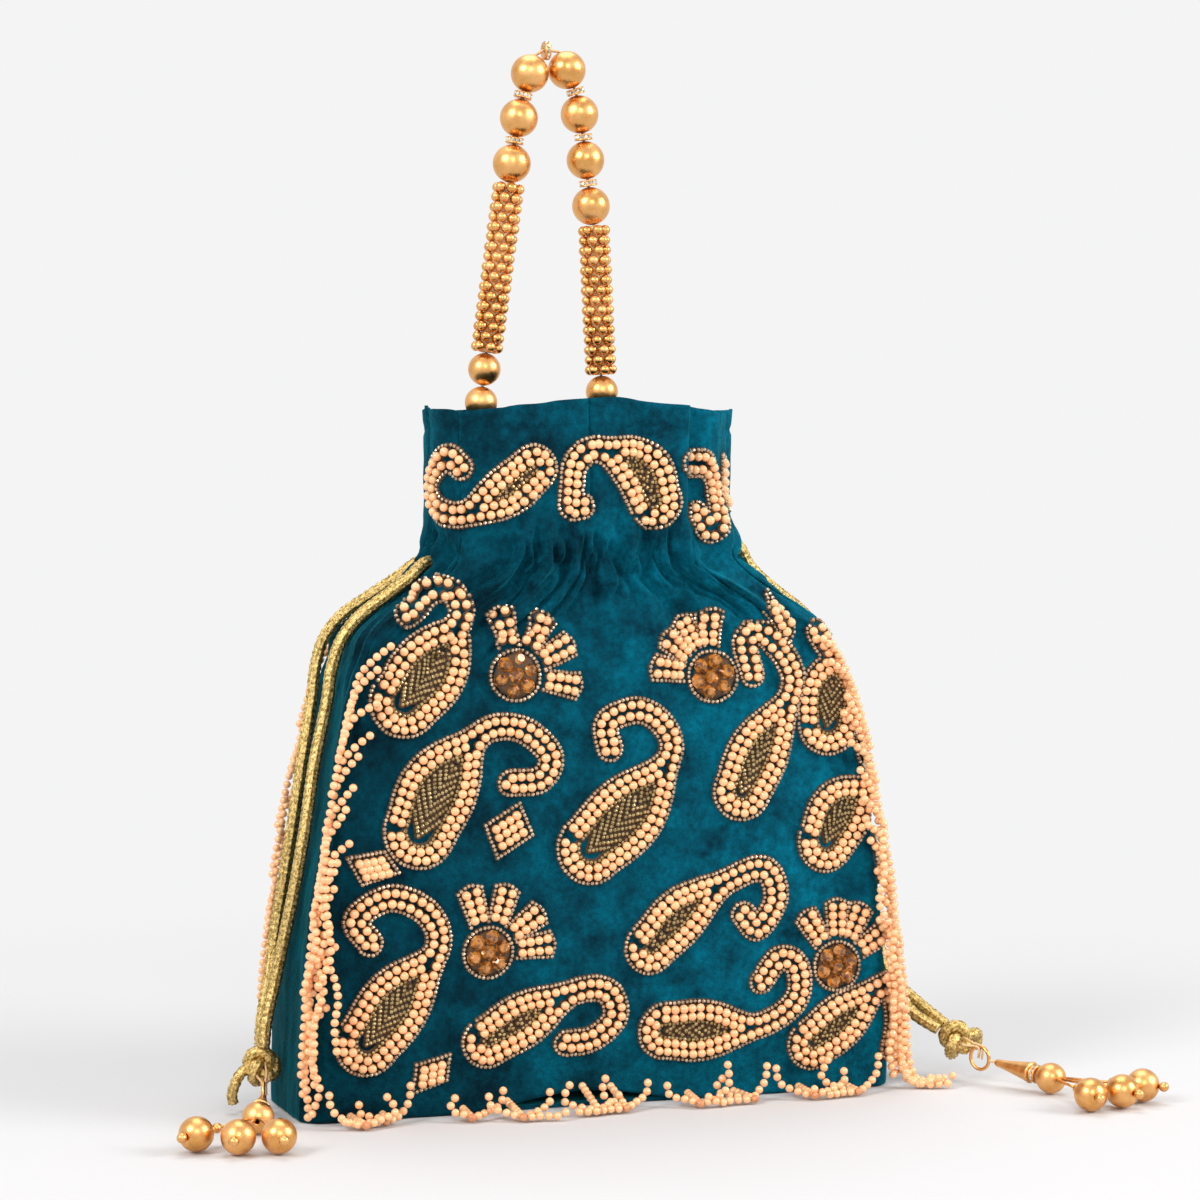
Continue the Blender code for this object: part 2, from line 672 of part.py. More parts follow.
def hem_strands(side, pitch):
    """Strands sewn into the hem: each lies on the floor in front of it and curls up at its tip."""
    strands = []
    reach = half_width(0.0) - 0.008
    count = int(2 * reach / pitch)
    forward = Vector((0, -1 if side == 0 else 1, 0))
    low = PEARL / 2 + 8 * FLOOR_GAP
    for k in range(count + 1):
        p = FLAT_SHARE[side] * (2 * k / count - 1) * 0.97
        root = wall_point(side, p, TAPE / 2 + 6 * FLOOR_GAP + hem_lift(side, p), GAP + TAPE / 2)
        lean = Vector((0.0022 * (-1) ** k, 0, 0))
        out = root + forward * STRAND_FORWARD * (0.55 + 0.12 * (k % 3)) + lean
        out.z = low
        tip = out + forward * 0.003 + lean + Vector((0, 0, 0.009 - low))
        strands.append([root, (root + out) / 2 + Vector((0, 0, low - root.z)) / 3, out, tip])
    return strands


def make_fringe(name, side, pitch):
    """The tape with its strands of pearls, all joined."""
    base = mesh_of_curve(tube(name, tape_points(side), TAPE, PEARL_BEAD, resolution=0))
    strands = seam_strands(side, -1, pitch) + seam_strands(side, 1, pitch) + hem_strands(side, pitch)
    bm = bmesh.new()
    for k, points in enumerate(strands):
        made = mesh_of_curve(tube(f"{name}_strand_{k}", points, PEARL, PEARL_BEAD, 0, collection=CUTTERS))
        bm.from_mesh(made.data)
        bpy.data.objects.remove(made, do_unlink=True)
    boolean(base, add_object(f"{name}_strands", mesh_from(bm, f"{name}_strands"), None, CUTTERS), "UNION", True)


def ball_profile(diameter, arcs=5, hole=BEAD_HOLE):
    """A ball with a bore, from its upper rim down its outside to its lower rim."""
    radius = diameter / 2
    top = math.acos(hole / 2 / radius)
    angles = [top - 2 * top * k / arcs for k in range(arcs + 1)]
    return [(radius * math.cos(a), radius * math.sin(a)) for a in angles]


def rondelle_profile():
    radius, half, bore = RONDELLE / 2, RONDELLE_LENGTH / 2, BEAD_HOLE / 2
    return [(bore, half), (radius * 0.85, half), (radius, 0.0), (radius * 0.85, -half), (bore, -half)]


def sleeve_profile(rows):
    """A woven bead sleeve: a ridge for each row of beads, and the bore."""
    crest, valley, bore = SLEEVE / 2, SLEEVE / 2 - 0.0010, BEAD_HOLE / 2
    top = rows * SLEEVE_ROW / 2
    profile = [(bore, top), (valley, top)]
    for k in range(rows):
        profile += [(crest, top - (k + 0.5) * SLEEVE_ROW), (valley, top - (k + 1) * SLEEVE_ROW)]
    return [*profile, (bore, -top)]


def handle_depth():
    """How far back the hand loop stands: just inside the back wall."""
    inner = half_depth(ANCHOR_HEIGHT) - VELVET - LINING_GAP - LINING
    return inner - GAP - SMALL_BALL / 2


def string_beads():
    """Each leg from its top ball down: name, kind, length and lean from upright (degrees)."""
    left = [("ball_left_1", "ball", 18), ("rondelle_left_1", "rondelle", 14), ("ball_left_2", "ball", 11)]
    left += [("rondelle_left_2", "rondelle", 9), ("ball_left_3", "ball", 8), ("sleeve_left", "sleeve", 8.1)]
    left += [("small_ball_left_1", "small", 7), ("small_ball_left_2", "small", 5)]
    right = [("ball_right_1", "ball", 24), ("rondelle_right_1", "rondelle", 18), ("ball_right_2", "ball", 10)]
    right += [("rondelle_right_2", "rondelle", 7), ("ball_right_3", "ball", 6), ("rondelle_right_3", "rondelle", 9)]
    right += [("ball_right_4", "ball", 8), ("sleeve_right", "sleeve", 3), ("small_ball_right", "small", 3)]
    return left, right


def make_bead(name, kind, centre, axis, rows):
    if kind == "ball":
        bead = turned(name, ball_profile(BALL), GOLD, 9, ring=True)
    elif kind == "small":
        bead = turned(name, ball_profile(SMALL_BALL), GOLD, 8, ring=True)
    elif kind == "rondelle":
        bead = turned(name, rondelle_profile(), CRYSTAL, 8, ring=True)
    else:
        bead = turned(name, sleeve_profile(rows), GOLD, 8, ring=True)
    return aim(bead, centre, axis)


def thread_leg(beads, top_centre, sign, rows):
    """Strings the beads down one leg. Returns the string's points from the top."""
    lengths = {"ball": BALL, "small": SMALL_BALL, "rondelle": RONDELLE_LENGTH, "sleeve": rows * SLEEVE_ROW}
    depth = handle_depth()
    points = []
    centre = Vector((top_centre[0], depth, top_centre[1]))
    entry = None
    for name, kind, lean in beads:
        down = Vector((sign * math.sin(math.radians(lean)), 0, -math.cos(math.radians(lean))))
        half = (lengths[kind] + GAP) / 2
        if entry is not None:
            centre = entry + down * half
        make_bead(name, kind, centre, down, rows)
        if entry is None:
            points.append(centre - down * half)
        points.append(centre + down * half)
        entry = centre + down * half
    anchor = Vector((entry.x + down.x * (entry.z - ANCHOR_HEIGHT), depth, ANCHOR_HEIGHT))
    return points, anchor


def make_tab(name, anchor):
    """A stitched patch on the lining with a thread bar that the string's end loops round."""
    inner = half_depth(ANCHOR_HEIGHT) - VELVET - LINING_GAP - LINING - GAP
    half_w, half_h, bar = TAB_WIDTH / 2, TAB_HEIGHT / 2, STRING / 2
    low = (anchor.x - half_w, inner - TAB_THICKNESS, anchor.z - half_h)
    patch = box(name, low, (anchor.x + half_w, inner, anchor.z + half_h), THREAD)
    for k, sign in enumerate((-1, 1)):
        x = anchor.x + sign * (half_w - 2 * bar)
        ear_low = (x - bar, anchor.y - 2 * bar, anchor.z - 2 * bar)
        ear = box(f"{name}_ear_{k}", ear_low, (x + bar, inner - TAB_THICKNESS / 2, anchor.z + 2 * bar), None, CUTTERS)
        boolean(patch, ear, "UNION")
    ends = [anchor + Vector((sign * (half_w - 2 * bar), 0, 0)) for sign in (-1, 1)]
    boolean(patch, mesh_of_curve(tube(f"{name}_bar", ends, STRING, None or THREAD, collection=CUTTERS)), "UNION")


def make_handle():
    """The hand loop: beads on a string that ends in a loop round each tab's bar."""
    left, right = string_beads()
    left_points, left_anchor = thread_leg(left, LEFT_TOP_BALL, -1, LEFT_SLEEVE_ROWS)
    right_points, right_anchor = thread_leg(right, RIGHT_TOP_BALL, 1, RIGHT_SLEEVE_ROWS)
    depth = handle_depth()
    apex = Vector((APEX[0], depth, APEX[1]))
    half = Vector(((RONDELLE_LENGTH + GAP) / 2, 0, 0))
    make_bead("rondelle_apex", "rondelle", apex, half, 0)
    lift = Vector((0, 0, LOOP_REACH))
    points = [left_anchor + lift, *left_points[::-1], apex - half, apex + half, *right_points, right_anchor + lift]
    string = mesh_of_curve(tube("handle_string", points, STRING, THREAD, resolution=0))
    for name, anchor in (("left", left_anchor), ("right", right_anchor)):
        turns = [math.radians(45 * k) for k in range(8)]
        ring = [anchor + LOOP_REACH * Vector((0, math.cos(a), math.sin(a))) for a in turns]
        eye = tube(f"string_eye_{name}", ring, STRING, THREAD, resolution=1, cyclic=True, collection=CUTTERS)
        boolean(string, mesh_of_curve(eye), "UNION")
        make_tab(f"handle_tab_{name}", anchor)


def make_knot(name, centre):
    """A lumpy overhand knot of the doubled cord."""
    bm = bmesh.new()
    bmesh.ops.create_uvsphere(bm, u_segments=12, v_segments=8, radius=KNOT_RADIUS)
    for vert in bm.verts:
        turn = math.atan2(vert.co.y, vert.co.x)
        tilt = vert.co.z / KNOT_RADIUS
        lump = 1 - 0.10 * (1 - tilt * tilt) * (1 + math.cos(3 * turn + 4 * tilt))
        vert.co *= lump
    knot = add_object(name, mesh_from(bm, name), LUREX)
    knot.location = centre


def make_ring(name, centre, axis):
    bm = bmesh.new()
    mesh = mesh_from(bm, name)
    bpy.ops.mesh.primitive_torus_add(
        major_segments=16,
        minor_segments=6,
        major_radius=RING_RADIUS - RING_WIRE / 2,
        minor_radius=RING_WIRE / 2,
    )
    torus = bpy.context.object
    made = add_object(name, torus.data.copy(), GOLD)
    bpy.data.objects.remove(torus, do_unlink=True)
    bpy.data.meshes.remove(mesh)
    return aim(made, centre, axis)


def cone_profile(stub):
    """A cone cap, its narrow end up, with the thread that ties it to the ring."""
    half, thread = CONE_LENGTH / 2, DROP_THREAD / 2
    tie = [(0, half + stub), (thread, half + stub), (thread, half)]
    return [*tie, (CONE_RADIUS * 0.35, half), (CONE_RADIUS * 0.6, 0), (CONE_RADIUS, -half), (0, -half)]


def drop_profile():
    """A tassel drop: thread, two small beads, the ball and its end bead, from the top down."""
    start = HEAD_BALL / 2 + GAP
    thread, bead, ball = DROP_THREAD / 2, DROP_BEAD / 2, DROP_BALL / 2
    profile = [(0, -start), (thread, -start)]
    top = DROP_REACH - ball - 2 * DROP_BEAD
    profile += [(thread, -top), (bead, -top - bead * 0.6), (bead, -top - bead * 3.4), (thread, -top - 2 * DROP_BEAD)]
    for k in range(5):
        angle = math.radians(72 - 36 * k)
        profile.append((ball * math.cos(angle), -DROP_REACH + ball * math.sin(angle)))
    end = DROP_REACH + ball
    profile += [(thread, -end), (bead, -end - bead), (0, -end - DROP_BEAD)]
    return profile


def make_tassel(side, knot, ring, head, drops):
    """Knot, ring, cone cap, rondelle, head ball and the drops that fan out on the floor."""
    knot, ring, head = Vector(knot) * MM, Vector(ring) * MM, Vector(head) * MM
    make_knot(f"{side}_knot", knot)
    along = (head - ring).normalized()
    across = along.cross(Vector((0, 0, 1))).normalized()
    make_ring(f"{side}_tassel_ring", ring, across)
    reach = (head - ring).length
    ball_top = reach - HEAD_BALL / 2 - GAP
    cap_middle = ball_top - RONDELLE_LENGTH - GAP - CONE_LENGTH / 2
    cap = turned(f"{side}_cone_cap", cone_profile(cap_middle - CONE_LENGTH / 2 - RING_RADIUS - GAP), GOLD, 10)
    aim(cap, ring + along * cap_middle, -along)
    stone = turned(f"{side}_tassel_rondelle", rondelle_profile(), CRYSTAL, 10, ring=True)
    aim(stone, ring + along * (ball_top - RONDELLE_LENGTH / 2), along)
    aim(turned(f"{side}_head_ball", ball_profile(HEAD_BALL), GOLD, 10, ring=True), head, along)
    for k, degrees in enumerate(drops):
        out = Vector((math.cos(math.radians(degrees)), math.sin(math.radians(degrees)), 0))
        drop = turned(f"{side}_drop_{k + 1}", drop_profile(), GOLD, 7)
        aim(drop, (head.x, head.y, DROP_BALL / 2 + FLOOR_GAP), -out)


def make_cords():
    routes = {
        "left_cord_outer": LEFT_OUTER_ROUTE,
        "left_cord_inner": LEFT_INNER_ROUTE,
        "right_cord_front": RIGHT_FRONT_ROUTE,
        "right_cord_back": RIGHT_BACK_ROUTE,
    }
    for name, route in routes.items():
        tube(name, smooth_route([Vector(p) * MM for p in route], 2.8 * CORD), CORD, LUREX)


make_walls()
make_bottom_panel()
make_lining()
make_drawstring_loops()
flower_stones()
make_fringe("front_fringe", 0, STRAND_PITCH)
make_fringe("back_fringe", 2, 2.4 * STRAND_PITCH)
make_handle()
make_cords()
make_tassel("left", LEFT_KNOT, LEFT_RING, LEFT_HEAD, LEFT_DROPS)
make_tassel("right", RIGHT_KNOT, RIGHT_RING, RIGHT_HEAD, RIGHT_DROPS)
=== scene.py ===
# %% [markdown]
# # A potli bag in Blender
# A potli is a drawstring pouch. This one is teal velvet with bead embroidery, a pearl fringe,
# a hand loop of gold balls and a tassel on each side. The CAD frame gives every size, place and
# joint. Each step here dresses one part of it: first what the piece is on the real bag, then
# how it could be made, then why it is made this way.

# %% Start from the CAD frame
import json
import math
import random

import bmesh
import bpy
import numpy as np
from mathutils import Matrix, Vector, noise

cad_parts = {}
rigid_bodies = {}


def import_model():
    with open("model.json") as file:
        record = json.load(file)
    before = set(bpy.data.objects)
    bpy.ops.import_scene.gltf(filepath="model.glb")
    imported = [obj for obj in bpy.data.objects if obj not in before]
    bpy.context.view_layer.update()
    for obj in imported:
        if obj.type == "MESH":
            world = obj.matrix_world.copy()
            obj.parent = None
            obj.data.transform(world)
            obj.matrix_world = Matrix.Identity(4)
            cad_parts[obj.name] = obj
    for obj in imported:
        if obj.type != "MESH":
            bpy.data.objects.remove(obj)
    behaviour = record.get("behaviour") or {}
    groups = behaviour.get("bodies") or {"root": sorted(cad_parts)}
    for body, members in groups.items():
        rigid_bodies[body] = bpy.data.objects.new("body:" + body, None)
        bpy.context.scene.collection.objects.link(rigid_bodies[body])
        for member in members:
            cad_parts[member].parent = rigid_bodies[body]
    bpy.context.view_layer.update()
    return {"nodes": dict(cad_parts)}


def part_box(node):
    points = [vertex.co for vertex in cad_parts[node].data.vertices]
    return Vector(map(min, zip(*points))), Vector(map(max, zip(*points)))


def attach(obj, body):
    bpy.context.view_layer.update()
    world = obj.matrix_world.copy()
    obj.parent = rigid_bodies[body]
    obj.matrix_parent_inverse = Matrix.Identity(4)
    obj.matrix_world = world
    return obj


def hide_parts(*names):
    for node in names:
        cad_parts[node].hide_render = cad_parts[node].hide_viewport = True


for startup in list(bpy.data.objects):
    bpy.data.objects.remove(startup)
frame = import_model()
MM = 0.001
chance = random.Random(7)


def new_object(name, data):
    """An object in the scene with this mesh, camera or lamp."""
    made = bpy.data.objects.new(name, data)
    bpy.context.scene.collection.objects.link(made)
    return made


# %% [markdown]
# ## The camera
# The photo was taken from the bag's left front, a little above the middle, with a long lens.
# The place and lens below were fitted to points of the bag that show clearly in the photo, such
# as the ends of the hem, the rim and the apex of the hand loop.

# %% Camera
camera = new_object("camera", bpy.data.cameras.new("camera"))
camera.location = (-0.36213, -1.05027, 0.21271)
camera.rotation_euler = (math.radians(87.3155), 0.0, math.radians(-19.3172))
camera.data.lens = 102.783
camera.data.sensor_width = 36
camera.data.clip_start, camera.data.clip_end = 0.05, 20
bpy.context.scene.camera = camera
bpy.context.scene.view_settings.view_transform = "Standard"
print("camera: lens", camera.data.lens, "mm")

# %% [markdown]
# ## Surfaces
# Dye, nap, plating and thread all vary a little from place to place. One shader group gives
# every material that soft variation: a noise that mixes two colours and two roughnesses. A second
# group makes the fine relief, as height for a Bump node. Both read Object coordinates, which
# here are the bag's own metres, so no picture is needed and nothing slides when a piece moves.

# %% The two shader groups
def add(tree, kind, values=(), **settings):
    """A new shader node in the tree, with these settings and socket values."""
    made = tree.nodes.new("ShaderNode" + kind)
    for setting, value in settings.items():
        setattr(made, setting, value)
    for socket, value in dict(values).items():
        made.inputs[socket].default_value = value
    return made


def link(tree, *wires):
    """Links, each from a node's output to a node's input."""
    for source, output, target, socket in wires:
        tree.links.new(source.outputs[output], target.inputs[socket])


def shader_group(name, inputs, outputs):
    """An empty shader group with these sockets, and its input and output nodes."""
    tree = bpy.data.node_groups.new(name, "ShaderNodeTree")
    for direction, sockets in (("INPUT", inputs), ("OUTPUT", outputs)):
        for socket, kind in sockets:
            tree.interface.new_socket(socket, in_out=direction, socket_type="NodeSocket" + kind)
    return tree, tree.nodes.new("NodeGroupInput"), tree.nodes.new("NodeGroupOutput")


def make_mottle():
    """Two colours and two roughnesses, mixed by a soft noise."""
    inputs = [("Vector", "Vector"), ("Scale", "Float"), ("Contrast", "Float"), ("Detail", "Float")]
    inputs += [("Colour A", "Color"), ("Colour B", "Color"), ("Rough A", "Float"), ("Rough B", "Float")]
    tree, enter, leave = shader_group("mottle", inputs, [("Color", "Color"), ("Roughness", "Float")])
    grain = add(tree, "TexNoise", {"Roughness": 0.62})
    centre = add(tree, "Math", {1: 0.5}, operation="SUBTRACT")
    spread = add(tree, "Math", {2: 0.5}, operation="MULTIPLY_ADD", use_clamp=True)
    colour, rough = add(tree, "Mix", data_type="RGBA"), add(tree, "Mix", data_type="FLOAT")
    link(tree, (enter, "Vector", grain, "Vector"), (enter, "Scale", grain, "Scale"),
         (enter, "Detail", grain, "Detail"), (grain, 0, centre, 0), (centre, 0, spread, 0),
         (enter, "Contrast", spread, 1), (spread, 0, colour, 0), (spread, 0, rough, 0),
         (enter, "Colour A", colour, 6), (enter, "Colour B", colour, 7), (enter, "Rough A", rough, 2),
         (enter, "Rough B", rough, 3), (colour, 2, leave, "Color"), (rough, 0, leave, "Roughness"))
    return tree


def make_relief():
    """The height of a fine grain, for a Bump node."""
    tree, enter, leave = shader_group("relief", [("Vector", "Vector"), ("Scale", "Float")], [("Height", "Float")])
    grain = add(tree, "TexNoise", {"Detail": 3})
    link(tree, (enter, "Vector", grain, "Vector"), (enter, "Scale", grain, "Scale"), (grain, 0, leave, "Height"))
    return tree


MOTTLE, RELIEF = make_mottle(), make_relief()


def surface(name, dark, light, rough, metallic=0.0, scale=60.0, contrast=3.0, grain=900.0, bump=0.1, **more):
    """A material that mottles between two colours and two roughnesses, with a fine grain."""
    material = bpy.data.materials.new(name)
    material.use_nodes = True
    tree = material.node_tree
    shader = tree.nodes["Principled BSDF"]
    shader.inputs["Metallic"].default_value = metallic
    for socket, value in more.items():
        shader.inputs[socket.replace("_", " ")].default_value = value
    place, turn = add(tree, "TexCoord"), add(tree, "Mapping")
    mottle = add(tree, "Group", node_tree=MOTTLE, values={
        "Scale": scale, "Contrast": contrast, "Detail": 7.0, "Rough A": rough[0], "Rough B": rough[1],
        "Colour A": (*dark, 1.0), "Colour B": (*light, 1.0)})
    relief = add(tree, "Group", {"Scale": grain}, node_tree=RELIEF)
    raised = add(tree, "Bump", {"Strength": bump, "Distance": 0.0005})
    link(tree, (place, "Object", turn, "Vector"), (turn, "Vector", mottle, "Vector"),
         (turn, "Vector", relief, "Vector"), (mottle, "Color", shader, "Base Color"),
         (mottle, "Roughness", shader, "Roughness"), (relief, "Height", raised, "Height"),
         (raised, "Normal", shader, "Normal"))
    return material


print("shader groups:", MOTTLE.name, "and", RELIEF.name)

# %% [markdown]
# ## Velvet
# Velvet is dark where its pile points at the eye and bright where the pile lies over. Real pile
# would need millions of hairs, so the material does it in layers: the soft mottle of crushed pile,
# painted light and shade that darken it towards the left and brighten it towards the right, as
# the lamps fall on the bag, and a fine nap. A tinted sheen brightens the folds that turn away.

# %% The velvet material
TEAL = (0.02, 0.55, 0.65, 1.0)
VELVET = surface("velvet", (0.0, 0.028, 0.048), (0.0, 0.125, 0.195), (0.75, 0.9), scale=70, contrast=3.2,
                 grain=1600, bump=0.8, Sheen_Weight=0.45, Sheen_Roughness=0.3, Sheen_Tint=TEAL,
                 Specular_IOR_Level=0.05)
tree = VELVET.node_tree
mapping, mottle, shader = tree.nodes["Mapping"], tree.nodes["Group"], tree.nodes["Principled BSDF"]
nap = add(tree, "Group", node_tree=MOTTLE, values={
    "Scale": 520.0, "Contrast": 3.5, "Detail": 4.0, "Colour A": (0.62, 0.62, 0.62, 1.0),
    "Colour B": (1.0, 1.0, 1.0, 1.0)})
split = add(tree, "SeparateXYZ")
# Painted light and shade: the velvet's colour is multiplied from 0.34 at the bag's left to 1.45 at its right, as the
# lamps fall on it.
painted_light_ramp = add(tree, "MapRange", {"From Min": -0.10, "From Max": 0.08, "To Min": 0.34, "To Max": 1.45})
painted_light_mix, napped = (add(tree, "Mix", {0: 1.0}, data_type="RGBA", blend_type="MULTIPLY") for _ in range(2))
link(tree, (mapping, "Vector", nap, "Vector"), (mapping, "Vector", split, "Vector"), (split, "X", painted_light_ramp, "Value"),
     (mottle, "Color", painted_light_mix, 6), (painted_light_ramp, "Result", painted_light_mix, 7), (painted_light_mix, 2, napped, 6),
     (nap, "Color", napped, 7), (napped, 2, shader, "Base Color"))
print("velvet:", len(tree.nodes), "shader nodes")

# %% [markdown]
# ## Beads, metal, thread and stones
# The other finishes need only the two shader groups. Each is a pair of colours from dark to light, a
# pair of roughnesses and the few sockets that set it apart, such as the clear coat of a pearl or
# of a cut stone.

# %% The other materials
LINING = surface("lining", (0.004, 0.05, 0.07), (0.006, 0.08, 0.10), (0.5, 0.7), grain=1100)
PEARL = surface("pearl", (0.96, 0.44, 0.19), (1.0, 0.60, 0.29), (0.16, 0.28), scale=260, contrast=2.5,
                bump=0.0, Coat_Weight=0.8, Coat_Roughness=0.06, Specular_IOR_Level=0.6)
# Partly the real backing and partly painted shade: dark brown, darker than the thread, for the shade in the gaps
# between beads.
BACKING_AND_SHADE = surface("backing_and_shade", (0.045, 0.022, 0.010), (0.12, 0.060, 0.025), (0.7, 0.9), scale=300)
SEED = surface("seed_bead", (0.36, 0.25, 0.16), (0.78, 0.62, 0.45), (0.16, 0.32), 0.7, scale=600, contrast=5)
DARK_SEED = surface("dark_seed_bead", (0.26, 0.18, 0.075), (0.58, 0.44, 0.22), (0.18, 0.34), 0.8, scale=700,
                    contrast=5)
GOLD = surface("gold", (0.70, 0.345, 0.10), (0.86, 0.475, 0.185), (0.24, 0.42), 1.0, scale=150, contrast=4)
LUREX = surface("lurex", (0.34, 0.21, 0.05), (0.85, 0.63, 0.25), (0.26, 0.5), 0.85, scale=1100, contrast=6,
                grain=2500, bump=0.5)
THREAD = surface("thread", (0.60, 0.36, 0.16), (0.85, 0.60, 0.33), (0.6, 0.8), scale=700)
AMBER = surface("amber", (0.13, 0.035, 0.004), (0.62, 0.24, 0.035), (0.03, 0.10), 0.35, scale=520, contrast=6,
                bump=0.0, Coat_Weight=1.0, Coat_Roughness=0.02)
CRYSTAL = surface("rhinestone", (0.45, 0.38, 0.30), (0.95, 0.92, 0.85), (0.03, 0.10), 0.7, scale=600, contrast=6,
                  bump=0.0, Coat_Weight=1.0)
print("materials:", len(bpy.data.materials))

# %% [markdown]
# ## Shared tools
# A finished mesh becomes one named piece that rides on the CAD body of the node that it stands
# for. A round piece is a profile turned on a lathe, and a cord is a grid rolled round its route.

# %% Pieces, turned shapes and tubes
SAME_PLACE = 1e-6


def piece(name, bm, material, body, slot, stands_for=(), smooth=True):
    """The bmesh as a finished object on its body."""
    bmesh.ops.recalc_face_normals(bm, faces=bm.faces)
    mesh = bpy.data.meshes.new(name)
    bm.to_mesh(mesh)
    bm.free()
    mesh.materials.append(material)
    mesh.shade_smooth() if smooth else mesh.shade_flat()
    obj = new_object(name, mesh)
    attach(obj, body)
    if stands_for:
        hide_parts(*stands_for)
    return obj


def turned_to(axis):
    """The rotation that points Z along the axis."""
    return Vector(axis).to_track_quat("Z", "Y").to_matrix().to_4x4()


def lathe(bm, profile, steps, centre, axis):
    """A profile of (radius, height) turned about the axis through centre. Finished vertices are
    tagged, so that the next shape in the same bmesh leaves them alone."""
    verts = [bm.verts.new((r, 0, h)) for r, h in profile]
    edges = [bm.edges.new(pair) for pair in zip(verts, verts[1:])]
    bmesh.ops.spin(bm, geom=verts + edges, axis=(0, 0, 1), cent=(0, 0, 0), steps=steps, angle=2 * math.pi,
                   use_merge=True)
    ring = {v for f in bm.faces for v in f.verts if not v.tag}
    bmesh.ops.remove_doubles(bm, verts=list(ring), dist=SAME_PLACE)
    fresh = [v for v in bm.verts if not v.tag]
    bmesh.ops.transform(bm, matrix=Matrix.Translation(centre) @ turned_to(axis), verts=fresh)
    for v in fresh:
        v.tag = True


def turned_piece(name, profile, steps, centre, axis, *rest):
    """A piece that is one turned profile. The rest goes to piece."""
    bm = bmesh.new()
    lathe(bm, profile, steps, centre, axis)
    return piece(name, bm, *rest)


def smooth_route(points, step):
    """Points about one step apart on a smooth curve through the given points."""
    route = [Vector(p) for p in points]
    padded = [2 * route[0] - route[1], *route, 2 * route[-1] - route[-2]]
    found = []
    for a, b, c, d in zip(padded, padded[1:], padded[2:], padded[3:]):
        count = max(1, round((c - b).length / step))
        for k in range(count):
            t = k / count
            found.append(0.5 * (2 * b + (c - a) * t + (2 * a - 5 * b + 4 * c - d) * t**2
                                + (3 * b - a - 3 * c + d) * t**3))
    return [*found, route[-1]]


def tube(bm, path, radius, sides=8, ring=False):
    """A grid rolled round the path. radius is a number or a function of (turn, distance)."""
    count = len(path)
    tangents = []
    for i in range(count):
        after, before = ((i + 1) % count, i - 1) if ring else (min(i + 1, count - 1), max(i - 1, 0))
        tangents.append((path[after] - path[before]).normalized())
    side = tangents[0].orthogonal().normalized()
    frames, gone = [], 0.0
    for i, along in enumerate(tangents):
        side = (side - along * side.dot(along)).normalized()
        frames.append((path[i], side, along.cross(side), gone))
        if i + 1 < count:
            gone += (path[i + 1] - path[i]).length
    rows = count + 1 if ring else count
    grid = bmesh.ops.create_grid(bm, x_segments=rows - 1, y_segments=sides, size=1)["verts"]
    for v in grid:
        row = round((v.co.x + 1) / 2 * (rows - 1))
        turn = (v.co.y + 1) * math.pi
        middle, u, w, far = frames[row % count]
        r = radius(turn, far) if callable(radius) else radius
        v.co = middle + r * (math.cos(turn) * u + math.sin(turn) * w)
    bmesh.ops.remove_doubles(bm, verts=grid, dist=SAME_PLACE)
    kept = [v for v in bm.verts if not v.tag]
    if not ring:
        edges = {e for v in kept for e in v.link_edges if e.is_boundary}
        bmesh.ops.holes_fill(bm, edges=list(edges), sides=0)
    for v in kept:
        v.tag = True


tool_test = bmesh.new()
tube(tool_test, smooth_route([(0, 0, 0), (0, 0, 0.01), (0, 0.01, 0.01)], 0.001), 0.001)
print("a tube 20 mm long:", len(tool_test.faces), "faces")
tool_test.free()

# %% [markdown]
# Hundreds of equal beads are copies of one small mesh, so each has few faces, and a cut stone is a
# short cone with eight facets and a flat table. Instances of one bead object would look the same, but
# the copies become part of the piece's own mesh and so ride with it.

# %% Small meshes and their copies
def simple_mesh(name, make, **shape):
    """A mesh from one of bmesh's create operators."""
    bm = bmesh.new()
    make(bm, **shape)
    mesh = bpy.data.meshes.new(name)
    bm.to_mesh(mesh)
    bm.free()
    return mesh


def bead_piece(name, mesh, matrices, *rest):
    """A piece that is many copies of one mesh. The rest goes to piece."""
    bm = bmesh.new()
    for matrix in matrices:
        one = mesh.copy()
        one.transform(matrix)
        bm.from_mesh(one)
        bpy.data.meshes.remove(one)
    return piece(name, bm, *rest)


def sized(centre, radius, axis=(0, 0, 1), flat=1.0):
    """The matrix of a copy of this radius, its Z along axis and flattened along it."""
    return Matrix.Translation(centre) @ turned_to(axis) @ Matrix.Diagonal((radius, radius, radius * flat, 1))


BEAD = simple_mesh("bead", bmesh.ops.create_icosphere, subdivisions=2, radius=1)
SMALL_BEAD = simple_mesh("small_bead", bmesh.ops.create_icosphere, subdivisions=1, radius=1)
EIGHT_SIDES = {"cap_ends": True, "segments": 8, "radius1": 1}
DISC = simple_mesh("disc", bmesh.ops.create_cone, radius2=0.8, depth=0.3, **EIGHT_SIDES)
CUT_STONE = simple_mesh("cut_stone", bmesh.ops.create_cone, radius2=0.5, depth=0.75, **EIGHT_SIDES)
print("faces:", {mesh.name: len(mesh.polygons) for mesh in (BEAD, SMALL_BEAD, DISC, CUT_STONE)})

# %% [markdown]
# ## The shape of the cloth
# On the real bag a flat-bottomed pouch is gathered round its neck by the drawstring. The same
# functions as in the CAD give a point on the outer wall for a side, a place from seam to seam and
# a height. The fine folds that the CAD leaves out are added here: creases that run down from the
# gathered neck, soft dents in the body and puffs round the casing. A cloth simulation could fold
# it too, but the folds would then not stay in step with the CAD, and the beads have to sit on them.
#
# The sides are numbered front 0, right 1, back 2 and left 3. A place p on a side runs from -1 at
# one seam to 1 at the other, and z is the height in metres.

